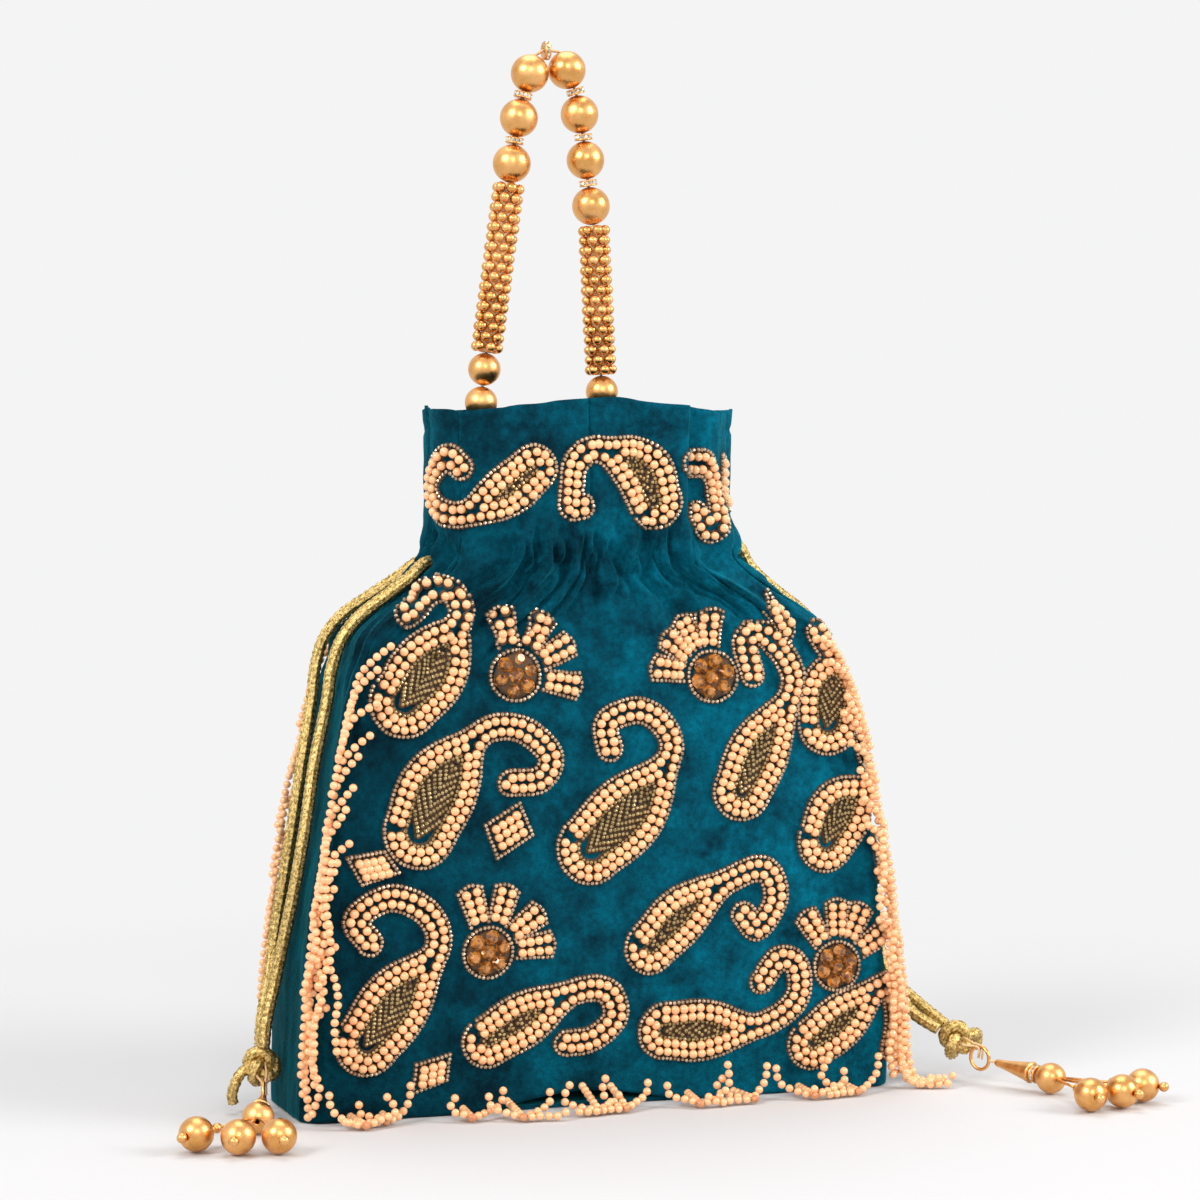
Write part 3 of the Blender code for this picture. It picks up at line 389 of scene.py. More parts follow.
# %% The outline of the bag
BASE_WIDTH, SHOULDER_WIDTH, SHOULDER_HEIGHT, SIDE_BULGE = 0.200, 0.160, 0.147, 0.0053
NECK_WIDTH, NECK_HEIGHT, RIM_WIDTH, RIM_HEIGHT, RIM_RISE = 0.102, 0.177, 0.105, 0.2225, 0.003
BODY_DEPTH, NECK_DEPTH, BELLY, BODY_CORNER, NECK_CORNER = 0.048, 0.044, 0.003, 0.008, 0.019


def ease(t):
    """A soft step from 0 to 1."""
    t = min(max(t, 0.0), 1.0)
    return t * t * (3 - 2 * t)


def shoulder_blend(z):
    return ease((z - SHOULDER_HEIGHT) / (NECK_HEIGHT - SHOULDER_HEIGHT))


def half_width(z):
    if z <= SHOULDER_HEIGHT:
        t = z / SHOULDER_HEIGHT
        return (BASE_WIDTH + (SHOULDER_WIDTH - BASE_WIDTH) * t) / 2 + SIDE_BULGE * 4 * t * (1 - t)
    if z <= NECK_HEIGHT:
        return (SHOULDER_WIDTH + (NECK_WIDTH - SHOULDER_WIDTH) * shoulder_blend(z)) / 2
    return (NECK_WIDTH + (RIM_WIDTH - NECK_WIDTH) * (z - NECK_HEIGHT) / (RIM_HEIGHT - NECK_HEIGHT)) / 2


def half_depth(z):
    t = min(z / SHOULDER_HEIGHT, 1.0)
    return (BODY_DEPTH + (NECK_DEPTH - BODY_DEPTH) * shoulder_blend(z)) / 2 + BELLY * 4 * t * (1 - t)


def corner_radius(z):
    return BODY_CORNER + (NECK_CORNER - BODY_CORNER) * shoulder_blend(z)


print("widths at the base, shoulder, neck and rim:",
      [round(2 * half_width(z), 3) for z in (0, SHOULDER_HEIGHT, NECK_HEIGHT, RIM_HEIGHT)])

# %% The gathers and folds
GATHER_HEIGHT, GATHER_UNEVEN, GATHER_DROP, GATHER_RISE = 0.0013, 0.35, 0.034, 0.014
GATHER_WAVES, FLAT_SHARE = (8, 2, 4, 2), (0.88, 0.50, 0.88, 0.50)
COLLAR_STEP, COLLAR_STEP_PLACE, COLLAR_LEAN_PLACE, COLLAR_CREASE = 0.0055, 0.775, 0.71, 0.0015
CREASE_TOP, LONG_CREASE, FINE_CREASE, PUFF, DENT, GRAIN = 0.172, 0.0042, 0.0026, 0.0062, 0.0017, 0.00040
STITCH_DROP, STITCH_DEEP, SEAM_DEEP = 0.0065, 0.0007, 0.0005


def gathers(side, p, z):
    """The even waves that the drawstring pulls, the same as in the CAD."""
    pull = ease(1 - abs(z - NECK_HEIGHT) / (GATHER_DROP if z < NECK_HEIGHT else GATHER_RISE))
    return GATHER_HEIGHT * pull * math.cos(math.pi * GATHER_WAVES[side] * p) * (
        1 + GATHER_UNEVEN * math.sin(2 * math.pi * p))


def collar_folds(side, p, z):
    """The collar's right corner, which steps back behind a fold of the front, and the sharp
    crease left of the front's middle."""
    rise = ease((z - NECK_HEIGHT - 0.006) / 0.014)
    if side == 1:
        return -COLLAR_STEP * rise * (1 - ease((p + 0.9) / 1.1))
    if side:
        return 0.0
    step = 1 / (1 + math.exp(-(p - COLLAR_STEP_PLACE) / 0.007))
    crease = math.exp(-abs(p + 0.13) / 0.022) + 0.4 * math.exp(-(((p - 0.30) / 0.05) ** 2))
    lean = 0.0014 * math.exp(-(((p - COLLAR_LEAN_PLACE) / 0.08) ** 2))
    return rise * (lean - COLLAR_STEP * step - COLLAR_CREASE * crease)


def creases(side, p, z):
    """The fine folds: long creases under the neck, puffs at the casing and soft dents below."""
    across = p * (0.5 if side % 2 == 0 else 0.24) * 0.2
    bend = noise.noise(Vector((across * 26, z * 45, 2.0))) * 0.020
    long_crease = noise.noise(Vector(((across + bend) * 70, z * 16, side * 9.0)))
    fine_crease = noise.noise(Vector(((across - bend) * 165, z * 26, side * 9.0 + 4)))
    fall = ease(1 - abs(z - CREASE_TOP) / (0.050 if z < CREASE_TOP else 0.016))
    fold = fall * ((min(abs(long_crease) * 2.6, 1.0) ** 0.7 - 0.6) * LONG_CREASE
                   + (abs(fine_crease) - 0.3) * FINE_CREASE)
    puff = ease(1 - abs(z - CREASE_TOP) / 0.017) * PUFF
    puff *= noise.noise(Vector((across * 110, z * 140, side + 3.0)))
    dent = ease((z - 0.004) / 0.03) * ease((0.222 - z) / 0.02 + 0.3) * DENT
    dent *= noise.noise(Vector((across * 42, z * 26, side + 5.0)))
    small = noise.noise(Vector((across * 170, z * 110, side + 8.0))) * GRAIN
    stitches = -STITCH_DEEP * math.exp(-(((z - RIM_HEIGHT + STITCH_DROP) / 0.0010) ** 2))
    seam = -SEAM_DEEP * math.exp(-(((1 - abs(p)) / 0.02) ** 2))
    return fold + puff + dent + small + stitches + seam


print("deepest crease of the front under the neck:",
      round(min(creases(0, k / 50, 0.16) for k in range(-50, 51)) * 1000, 1), "mm")

# %% [markdown]
# Two drawstrings run in the casing, between the velvet and the lining. So the velvet's valleys may
# not come further in there than the cords allow, and the lining's crests not further out. The
# rim rises a little at the front's middle, waves, and drops at its corners.

# %% Points on the cloth
CASING_HEIGHT, CASING_LEAST, CASING_ROOM, LINING_MOST = 0.1757, -0.0022, 0.0062, 0.0004
HEM_LIFT, HEM_LIFT_CENTRE, HEM_LIFT_REACH, HEM_LIFT_FADE = 0.005, -0.08, 0.40, 0.050
RIM_WAVE, RIM_CORNER_DROP = 0.0014, 0.0011


def wall_point(side, p, z, out=0.0):
    """The point of the outer wall at this side, place and height, moved out by this much. A
    negative out is the lining."""
    along, away = half_width(z), half_depth(z)
    if side % 2:
        along, away = away, along
    radius, flat = corner_radius(z), FLAT_SHARE[side]
    edge = 1 - ease((abs(p) - 0.9) / 0.1)
    step = gathers(side, p, z) + creases(side, p, z) * (0.25 + 0.75 * edge)
    slack = 0.02 * ease((abs(z - CASING_HEIGHT) - 0.008) / 0.02)
    step = max(step, CASING_LEAST - slack)
    if out < -0.001:
        step = min(step, LINING_MOST + slack)
    step += out + collar_folds(side, p, z)
    angle = math.copysign(max(abs(p) - flat, 0) / (1 - flat) * math.pi / 4, p)
    middle = (along - radius) * max(-1, min(1, p / flat))
    u = middle + (radius + step) * math.sin(angle)
    v = away - radius + (radius + step) * math.cos(angle)
    x, y = ((u, -v), (v, u), (-u, v), (-v, -u))[side]
    return Vector((x, y, z))


def hem_lift(side, p):
    return 0.0 if side else HEM_LIFT * ease(1 - abs(p - HEM_LIFT_CENTRE) / HEM_LIFT_REACH)


def panel_point(side, p, level, out=0.0):
    """Like wall_point, with the front's lifted hem and its raised rim."""
    z = max(level, 0.0001) + hem_lift(side, p) * max(0.0, 1 - level / HEM_LIFT_FADE)
    if side == 0 and level > NECK_HEIGHT:
        z += RIM_RISE * (1 - p * p) * (level - NECK_HEIGHT) / (RIM_HEIGHT - NECK_HEIGHT)
    wave = RIM_WAVE * (1 - p * p) * noise.noise(Vector((p * 2.6 + side * 3.1, 7.0, 0.5)))
    z += ease((level - 0.195) / 0.025) * (wave - RIM_CORNER_DROP * p**8)
    return wall_point(side, p, z, out)


print("front's rim at its middle:", [round(v, 4) for v in panel_point(0, 0, RIM_HEIGHT)])

# %% [markdown]
# ## The velvet panels
# Four panels are sewn at the corners: an embroidered front, a back and a gusset at each side. Each
# is a fine grid laid on the cloth functions and given the thickness of velvet with a solidify.

# %% Velvet panels
def velvet_panel(name, side, wide, high):
    bm = bmesh.new()
    bmesh.ops.create_grid(bm, x_segments=wide, y_segments=high, size=1)
    for v in bm.verts:
        v.co = panel_point(side, v.co.x, (v.co.y + 1) / 2 * RIM_HEIGHT)
    bmesh.ops.recalc_face_normals(bm, faces=bm.faces)
    bm.faces.ensure_lookup_table()
    outward = ((0, -1, 0), (1, 0, 0), (0, 1, 0), (-1, 0, 0))[side]
    if bm.faces[len(bm.faces) // 2].normal.dot(Vector(outward)) < 0:
        bmesh.ops.reverse_faces(bm, faces=bm.faces)
    bmesh.ops.solidify(bm, geom=bm.faces[:], thickness=0.0009)
    return piece(name, bm, VELVET, "bag", "velvet", [name.replace("velvet", "panel")])


for name, side, wide, high in (("front_velvet", 0, 170, 170), ("back_velvet", 2, 120, 130),
                               ("left_side_velvet", 3, 44, 130), ("right_side_velvet", 1, 44, 130)):
    made = velvet_panel(name, side, wide, high)
    print(name, len(made.data.polygons), "faces")

# %% [markdown]
# ## The lining
# A thin lining with its own bottom hangs inside the velvet. It follows the same folds a little
# further in, and keeps more room at the casing. The bottom panel, the drawstring loops, the tabs
# and the string are plain enough to stay as the CAD made them, with a material.

# %% Lining and carried-over nodes
bm = bmesh.new()
for side, wide in enumerate((90, 30, 60, 30)):
    sheet = bmesh.ops.create_grid(bm, x_segments=wide, y_segments=70, size=1)["verts"]
    for v in sheet:
        level = 0.0015 + (v.co.y + 1) / 2 * 0.2145
        room = CASING_ROOM * ease(1.6 - abs(level - CASING_HEIGHT) / 0.008)
        v.co = panel_point(side, v.co.x, level, -0.0021 - room)
        v.tag = True
bmesh.ops.remove_doubles(bm, verts=bm.verts, dist=2e-4)
floor_edges = [e for e in bm.edges if e.is_boundary and max(v.co.z for v in e.verts) < 0.01]
bmesh.ops.holes_fill(bm, edges=floor_edges, sides=0)
made = piece("lining_cloth", bm, LINING, "bag", "lining_cloth", ["lining"])
print("lining:", len(made.data.polygons), "faces")
KEPT_NODES = {"bottom_panel": VELVET, "lower_drawstring_loop": LUREX, "upper_drawstring_loop": LUREX,
              "handle_tab_left": THREAD, "handle_tab_right": THREAD, "handle_string": THREAD}
for name, material in KEPT_NODES.items():
    frame["nodes"][name].data.materials.clear()
    frame["nodes"][name].data.materials.append(material)
print("CAD nodes kept:", len(KEPT_NODES))

# %% [markdown]
# ## The embroidery
# Each paisley is a hook-shaped pad of pearls: a line of small bronze beads round its edge, two rows
# of pearls, a second line of small beads, and chevrons of darker beads in its heart. The rows
# keep a set distance from the edge, so the script needs only the paisley's spine and width. It
# treats the paisley as the area that discs along the spine cover, and strings beads along the lines
# that lie a given depth inside it.

# %% Places on the cloth
def on_cloth(s, z, out):
    """A point at distance s from the front's middle, measured round the corner, and its outward
    direction."""
    s, z = s * MM, z * MM
    radius = corner_radius(z)
    flat, arc = half_width(z) - radius, radius * math.pi / 4
    sign = math.copysign(1, s)
    past, share = abs(s) - flat, FLAT_SHARE[0]
    if past <= 0:
        side, p = 0, share * s / flat
    elif past <= arc:
        side, p = 0, sign * (share + (1 - share) * past / arc)
    else:
        beyond = past - arc
        reach = half_depth(z) - radius
        q = 0.5 * min(beyond / arc, 1) + 0.5 * max(0, beyond - arc) / reach
        side, p = (1, -1 + q) if s > 0 else (3, 1 - q)
    p = max(-1, min(1, p))
    base = wall_point(side, p, z)
    du = wall_point(side, min(p + 0.02, 1), z) - wall_point(side, max(p - 0.02, -1), z)
    dv = wall_point(side, p, z + 0.0015) - wall_point(side, p, z - 0.0015)
    normal = du.cross(dv).normalized()
    return base + normal * out * MM, normal


print("a point 20 mm right of the middle:", [round(v, 4) for v in on_cloth(20, 100, 0)[0]])

# %% The outline of a paisley and the rows inside it (millimetres)
PEARL_SIZE, SEED_SIZE, HEART_SEED_SIZE, TAIL_WIDTH, PADDING = 1.48, 0.68, 0.70, 4.5, 0.35
EDGE, ROW_1, ROW_2, HEART = 0.66, 2.8, 5.5, 7.3


def sweep(half, spine):
    """The discs that cover a paisley: centres and radii, from its round end to its tail."""
    line = [Vector((x, z, 0)) for x, z in spine]
    points = smooth_route(line, 0.35)
    body = (line[1] - line[0]).length + (line[2] - line[1]).length
    gone, centres, radii = 0.0, [], []
    for i, point in enumerate(points):
        gone += (point - points[max(i - 1, 0)]).length
        t = min(gone / body, 1.0)
        swell = 0.86 + 0.14 * ease(3 * t) if t < 0.33 else 1 - ease((t - 0.33) / 0.67)
        centres.append((point.x, point.y))
        radii.append(TAIL_WIDTH + (half + PADDING - TAIL_WIDTH) * swell)
    return np.array(centres), np.array(radii)


def depth_in(centres, radii, points):
    """How far inside the swept outline each point lies."""
    gaps = np.linalg.norm(points[:, None] - centres[None], axis=2)
    return (radii[None] - gaps).max(axis=1)


def row_at(centres, radii, depth, spacing):
    """Points spaced along the line that lies this deep inside the outline."""
    ahead = np.gradient(centres, axis=0)
    ahead /= np.linalg.norm(ahead, axis=1)[:, None]
    normal = np.stack([-ahead[:, 1], ahead[:, 0]], axis=1)
    slope = np.clip(np.gradient(radii) / np.linalg.norm(np.gradient(centres, axis=0), axis=1), -0.95, 0.95)
    back, spread = -slope[:, None] * ahead, np.sqrt(1 - slope**2)[:, None] * normal
    reach = radii - depth
    keep = reach > 0.35
    if not keep.any():
        return []
    left = (centres + (back + spread) * reach[:, None])[keep]
    right = (centres + (back - spread) * reach[:, None])[keep][::-1]
    ends = []
    for i, turns in ((np.where(keep)[0][-1], (1.5, -1.5)), (np.where(keep)[0][0], (-0.5, -3.5))):
        angles = np.linspace(turns[0] * math.pi / 2, turns[1] * math.pi / 2, 90)[1:-1, None]
        ends.append(centres[i] + reach[i] * (np.cos(angles) * ahead[i] + np.sin(angles) * normal[i]))
    line = np.concatenate([left, ends[0], right, ends[1], left[:1]])
    line = line[np.abs(depth_in(centres, radii, line) - depth) < 0.25]
    found = []
    for a, b in zip(line, line[1:]):
        for t in np.linspace(0, 1, 5)[:-1] if np.linalg.norm(b - a) < 1.5 else (0.0,):
            point = a + (b - a) * t
            near = found[-1:] + found[:3] if len(found) < 6 else [found[-1], *found[:-4]]
            if all(np.hypot(*(point - other)) >= spacing * (1 if other is found[-1] else 0.93) for other in near):
                found.append(point)
    return found


print("rows:", ROW_1, "and", ROW_2, "mm inside the edge")

# %% [markdown]
# Sewn beads never sit quite in line, so each is moved and sized a little at random. Under every bead
# goes a small dark disc, which stands for the thread and the backing between the beads, and is made
# much darker than the thread as a painted shade in the gaps between the beads.

# %% Sewing beads down
VEIN_GAP, VEIN_BEAD, VEIN_ANGLE, VEIN_INSET, MOST_VEIN_BEADS = 3.1, 1.3, math.radians(33), 0.9, 14
pearls, seeds, dark_seeds, pads, dark_pads = [], [], [], [], []


def sew(places, into, pad_list, size, out, pad_size):
    """A bead of this size on each place, its middle this far off the cloth."""
    for s, z in places:
        centre, normal = on_cloth(s + chance.uniform(-0.08, 0.08), z + chance.uniform(-0.08, 0.08), out)
        into.append(sized(centre, size * MM * chance.uniform(0.95, 1.04), normal))
        pad_list.append(sized(centre - normal * (out - 0.35) * MM, pad_size * MM, normal))


def sew_pearls(places):
    sew(places, pearls, pads, PEARL_SIZE, 1.45, 1.75)


def sew_seeds(places):
    sew(places, seeds, pads, SEED_SIZE, 0.85, 0.85)


def chevrons(centres, radii):
    """Veins of small beads that point to the paisley's round end."""
    found, gone = [], 1.0
    for i in range(1, len(centres)):
        step = centres[i] - centres[i - 1]
        gone += np.hypot(*step)
        if gone < VEIN_GAP:
            continue
        gone = 0.0
        start = centres[i] - (radii[0] - HEART) * 0.8 * step / np.hypot(*step)
        for sign in (-1, 1):
            angle = math.atan2(step[1], step[0]) + sign * VEIN_ANGLE
            for k in range(0 if sign > 0 else 1, MOST_VEIN_BEADS):
                point = start + VEIN_BEAD * k * np.array((math.cos(angle), math.sin(angle)))
                if depth_in(centres, radii, point[None])[0] >= HEART + VEIN_INSET:
                    found.append(point)
                elif k > 2:
                    break
    return found


def paisley(half, *spine):
    """A paisley of this half width, along a spine from its round end to its tail."""
    centres, radii = sweep(half, spine)
    for depth in (ROW_1, ROW_2):
        sew_pearls(row_at(centres, radii, depth, 2 * PEARL_SIZE - 0.04))
    sew_seeds(row_at(centres, radii, EDGE, 2 * SEED_SIZE))
    heart = row_at(centres, radii, HEART, 2 * SEED_SIZE) + chevrons(centres, radii)
    sew(heart, dark_seeds, dark_pads, HEART_SEED_SIZE, 0.95, 1.25)


# %% The eleven paisleys of the body and the four of the collar (millimetres)
paisley(12.4, (-67.5, 131), (-57, 143.5), (-48.5, 157), (-50.5, 164.5), (-58, 165), (-65.5, 158))
paisley(13.0, (-63, 90.5), (-55.5, 105.5), (-42.5, 120.5), (-29.5, 121.5), (-20, 113), (-23, 105.5), (-33, 104.5))
paisley(12.7, (-6.5, 83), (9, 97), (20.5, 112.5), (17.5, 122), (9, 126.5), (-1, 122.5), (0, 114.5))
paisley(10.5, (45, 99.5), (52.5, 115), (62.5, 130.5), (62, 140), (54, 149.5), (47, 148.5), (49, 137))
paisley(12.0, (75.5, 121), (77, 130.5), (77.5, 142), (73, 150))
paisley(11.5, (74.5, 82.5), (80.5, 92), (92, 99), (99, 99))
paisley(11.7, (-80, 25), (-69, 39), (-57.5, 53.5), (-60.5, 64.5), (-72.5, 70), (-83.5, 63.5), (-79, 56))
paisley(9.2, (-40.5, 23), (-28.5, 29.5), (-11.5, 37.5), (-1, 37), (2, 28.5), (-5.5, 22), (-14.5, 21))
paisley(9.5, (13.5, 50.5), (25.5, 61.5), (41, 71), (52.5, 74), (56.5, 64.5), (50.5, 55), (45.5, 59.5))
paisley(10.0, (19, 23), (33, 22.5), (52, 23), (64, 30.5), (64.5, 41.5), (58, 44.5), (52, 37.5))
paisley(9.5, (70.5, 16), (82.5, 24.5), (94.5, 33.5), (99, 31), (101, 21.5), (99, 12.5))
paisley(8.3, (-24, 203.5), (-34, 195.5), (-47, 189), (-57, 191.5), (-60, 199), (-52.5, 207), (-47.5, 204))
paisley(9.8, (16.5, 193), (11.5, 203.5), (-3, 209.5), (-10, 205.5), (-11.5, 198), (-11.5, 191.5), (-8, 191.5))
paisley(4.6, (30.5, 205), (37.5, 204.5), (41.5, 198), (41, 188), (36.5, 183.5), (32.5, 188.5))
paisley(5.2, (54.5, 194), (54, 199), (55, 204))
print("paisleys:", len(pearls), "pearls so far")

# %% [markdown]
# ## Flowers, diamonds and their stones
# Five flowers have a disc of seven amber stones and up to four petals, each two pearls wide. A few
# small diamonds of pearls fill the gaps. Each cut stone is shaded flat, so that its facets flash. The
# stones of each flower stand for that flower's CAD node.

# %% Flowers
SETTING_SIZE, STONE_SIZE, STONE_RING, SEED_RING = 7.6, 2.6, 4.9, 8.0


def ring_of(radius, angles):
    return [(radius * math.cos(a), radius * math.sin(a)) for a in angles]


def flower(number, s, z, *petals):
    """Stones round (s, z), a ring of seeds, and petals at these angles in degrees."""
    centre, normal = on_cloth(s, z, 0.9)
    bead_piece(f"flower_setting_{number}", DISC, [sized(centre, SETTING_SIZE * MM, normal, 0.22)],
               BACKING_AND_SHADE, "bag", "amber_stone")
    stones = []
    for u, w in [(0.0, 0.0), *ring_of(STONE_RING, np.arange(6) * math.pi / 3 + 0.3)]:
        place, out = on_cloth(s + u, z + w, 1.9)
        stones.append(sized(place, STONE_SIZE * MM, out, 0.8) @ Matrix.Rotation(chance.uniform(0, 6), 4, "Z"))
    bead_piece(f"flower_stone_set_{number}", CUT_STONE, stones, AMBER, "bag", "amber_stone",
               [f"flower_stones_{number}"], False)
    sew_seeds([(s + u, z + w) for u, w in ring_of(SEED_RING, np.linspace(0, 2 * math.pi, 37)[:-1])])
    for degrees in petals:
        ahead = np.array((math.cos(math.radians(degrees)), math.sin(math.radians(degrees))))
        left = np.array((-ahead[1], ahead[0]))
        middle = np.array((s, z))
        for k in range(4):
            for sign in (-1, 1):
                sew_pearls([middle + ahead * (11.2 + 2.8 * k) + left * sign * (1.45 + 0.12 * k)])
        edge = [middle + ahead * r + left * sign * (3.0 + 0.09 * (r - 9)) for sign in (-1, 1)
                for r in np.arange(9.4, 21.6, 1.4)]
        edge += [middle + ahead * (22.0 - 0.10 * u * u) + left * u for u in np.arange(-2.8, 3.0, 1.4)]
        sew_seeds(edge)


def spread_over(length):
    """How far along a diamond's side, as shares of it, its rows of pearls lie."""
    rows = max(2, round((length - 1.6) / 2.8))
    return [(1.3 + (k + 0.5) * (length - 2.6) / rows) / length for k in range(rows)]


def diamond(*corners):
    """Pearls that fill the four corners, and seeds round them."""
    corners = [np.array(c, float) for c in corners]
    along, across = corners[1] - corners[0], corners[3] - corners[0]
    for u in spread_over(np.hypot(*along)):
        sew_pearls([corners[0] + along * u + across * w for w in spread_over(np.hypot(*across))])
    for a, b in zip(corners, corners[1:] + corners[:1]):
        count = round(np.hypot(*(b - a)) / 1.4)
        sew_seeds([a + (b - a) * k / count for k in range(count)])


flower(1, -31, 138.5, 103, 61, 27, -11)
flower(2, 35.5, 136.5, 170, 141, 118, 92)
flower(3, -41, 51.5, 107, 72, 35, 5)
flower(4, 78.5, 41, 123, 90, 65, 32)
flower(5, 94, 112.5, 60, 20, -20)
diamond((-41.5, 91.5), (-30, 98), (-26, 88), (-37.5, 81))
diamond((-86.5, 83), (-74.5, 84.5), (-70, 78), (-81.5, 74.5))
diamond((-64, 17), (-53, 19.5), (-54, 11.5), (-65, 8))
diamond((56.5, 163.5), (64.5, 153), (62.5, 147.5), (54, 157))
diamond((96, 83), (101, 78), (99, 67), (94.5, 71))

# %% Bead meshes of the embroidery
# The backing discs carry painted shade for the gaps between the beads as well as the backing's own colour.
for name, mesh, matrices, material, slot in (
        ("embroidery_pearls", BEAD, pearls, PEARL, "pearl"),
        ("embroidery_seeds", SMALL_BEAD, seeds, SEED, "gold_bead"),
        ("embroidery_chevrons", SMALL_BEAD, dark_seeds, DARK_SEED, "gold_bead"),
        ("embroidery_backing", DISC, pads, BACKING_AND_SHADE, "thread"),
        ("chevron_backing", DISC, dark_pads, BACKING_AND_SHADE, "thread")):
    made = bead_piece(name, mesh, matrices, material, "bag", slot, (), mesh == BEAD)
    print(name, len(matrices), "beads,", len(made.data.polygons), "faces")

# %% [markdown]
# ## The fringe
# Threads of pearls are sewn into the side seams and the hem. The beads are stiff on their thread, so
# the strands hang in soft bends. Each strand is a smooth line with a pearl every 2.7 mm. The hem's
# threads come in pairs with a gap after each. They run out along the floor and part into two ends
# that curl up, and one of each pair has a third end that lies flat.

# %% Fringe strands
FRINGE_PEARL, FRINGE_TOP, FRINGE_LENGTH, HEM_LENGTH = 0.00134, 0.148, 0.118, 0.184


def strand(points, into):
    """Pearls that touch each other along a smooth line."""
    last = None
    for point in smooth_route(points, 0.0003):
        if last is None or (point - last).length >= 2 * FRINGE_PEARL:
            into.append(sized(point, FRINGE_PEARL))
            last = point


def near_seam(side, end, z, inward, out):
    """A point this far in from the seam across the panel, and this far off the cloth."""
    p = end * (1 - inward / (half_width(z) + BODY_CORNER * 0.3))
    return wall_point(side, max(-1, min(1, p)), max(z, 0.0018), out)


def seam_strands(side, end, pitch, into):
    """Strands down a side seam. Above, each has a short free tip that stands off towards the
    front. Lower down they are longer and hang beside each other."""
    for k in range(int(FRINGE_LENGTH / pitch)):
        z = FRINGE_TOP - k * pitch + chance.uniform(-0.002, 0.002)
        off = chance.uniform(0.0012, 0.0032)
        tip = [near_seam(side, end, z, chance.uniform(0.006, 0.0095), 0.0028 + off),
               near_seam(side, end, z - 0.004, chance.uniform(0.003, 0.005), 0.0024 + off),
               near_seam(side, end, z - 0.009, 0.0006, 0.0018 + off)]
        long = 0.020 + 0.012 * ease((0.120 - z) / 0.06)
        sway = chance.uniform(-0.0035, 0.0045) * ease((0.125 - z) / 0.05)
        for j in (1, 2, 3):
            tip.append(near_seam(side, end, z - 0.009 - long * j / 3, sway * j / 3 + 0.0004 * (-1) ** j,
                                 0.0016 + off + 0.0004 * j))
        strand(tip, into)
        if z < 0.095:
            start, drift = chance.uniform(0.0, 0.004), chance.uniform(-0.001, 0.009)
            long = min(chance.uniform(0.028, 0.040), z - 0.004)
            line = []
            for t in (0, 0.25, 0.5, 0.75, 1):
                inward = start + drift * math.sin(t * 2.2) + 0.0014 * math.sin(9 * t + k)
                line.append(near_seam(side, end, z - long * t, inward, 0.0032 + off * (1 + t)))
            strand(line, into)


def hem_strands(side, pitch, into):
    """Strands from the hem, along the floor and up at their ends."""
    count = round(HEM_LENGTH / pitch)
    ahead = -1 if side == 0 else 1
    for k in range(count + 1):
        if k % 3 == 2:
            continue
        p = 0.03 + 0.86 * (2 * (k + chance.uniform(-0.2, 0.2)) / count - 1)
        root = panel_point(side, p, 0.0018, 0.0006)
        out, turn = chance.uniform(0.010, 0.018), chance.choice((-1, 1))

        def spot(x, y, z):
            return Vector((root.x + x * turn * MM, root.y + ahead * (out + y * MM), z * MM))

        meet = spot(chance.uniform(-2, 2), 0, 1.6)
        strand([root, (root + meet) / 2, meet], into)
        high, wide = chance.uniform(7, 14), chance.uniform(7, 14)
        strand([meet, spot(-0.4 * wide, -3, 2.4), spot(-0.9 * wide, -5.5, 0.5 * high),
                spot(-wide, -6, high)], into)
        high, wide = chance.uniform(5, 13), chance.uniform(6, 13)
        strand([meet, spot(0.5 * wide, -2, 2.6), spot(wide, -4, 0.5 * high),
                spot(chance.uniform(0.6, 1.2) * wide, -5, high)], into)
        if k % 3:
            strand([meet, spot(6, 0, 1.6), spot(11, 1.5, 1.6),
                    spot(chance.uniform(13, 18), 1, chance.uniform(1.6, 5))], into)


for name, side, pitch in (("front", 0, 0.0084), ("back", 2, 0.0150)):
    places = []
    for end in (-1, 1):
        seam_strands(side, end, pitch, places)
    hem_strands(side, pitch * 1.55, places)
    if side == 0:
        for k in range(7):
            x, y = 98 + chance.uniform(0, 3), -25 - chance.uniform(0, 2)
            reach, aside = chance.uniform(10, 17), chance.uniform(0, 7)
            line = [(x, y, 50 - 6 * k), (x + 2, y - 2, 30 - 4 * k), (x + 2.5, y - 2 - 0.4 * aside, max(2, 10 - k)),
                    (x + 0.45 * reach, y - 3 - 0.7 * aside, 1.7), (x + reach, y - 4 - aside, chance.uniform(1.6, 5))]
            strand([Vector(p) * MM for p in line], places)
    bead_piece(f"{name}_fringe_pearls", BEAD, places, PEARL, "bag", "pearl", [f"{name}_fringe"])
    print(name, "fringe:", len(places), "pearls")

# %% [markdown]
# ## The drawstrings
# The two drawstrings are braided from gold lurex. A braid shows rows of slanting stitches that
# meet in a V, so each cord is a grid rolled round its route whose radius rises and falls in that
# pattern. Eight separate woven strands would look the same from here and need ten times the faces.
# Each cord runs from the slit in the casing to its knot. The right pair lies
# close to the gusset, where the front hides it.

# %% Cords
def braid(radius, columns=8, pitch=0.0023, deep=0.22):
    """The radius of a braided cord at (turn, distance)."""
    def at(turn, far):
        place = turn / (2 * math.pi) * columns
        across = place % 1.0
        slant = across if int(place) % 2 else 1 - across
        stitch = (far / pitch + slant * 0.55) % 1.0
        lump = math.sqrt(max(0.0, math.sin(math.pi * across))) * math.sqrt(max(0.0, math.sin(math.pi * stitch)))
        return radius * (1 - deep + deep * lump)
    return at


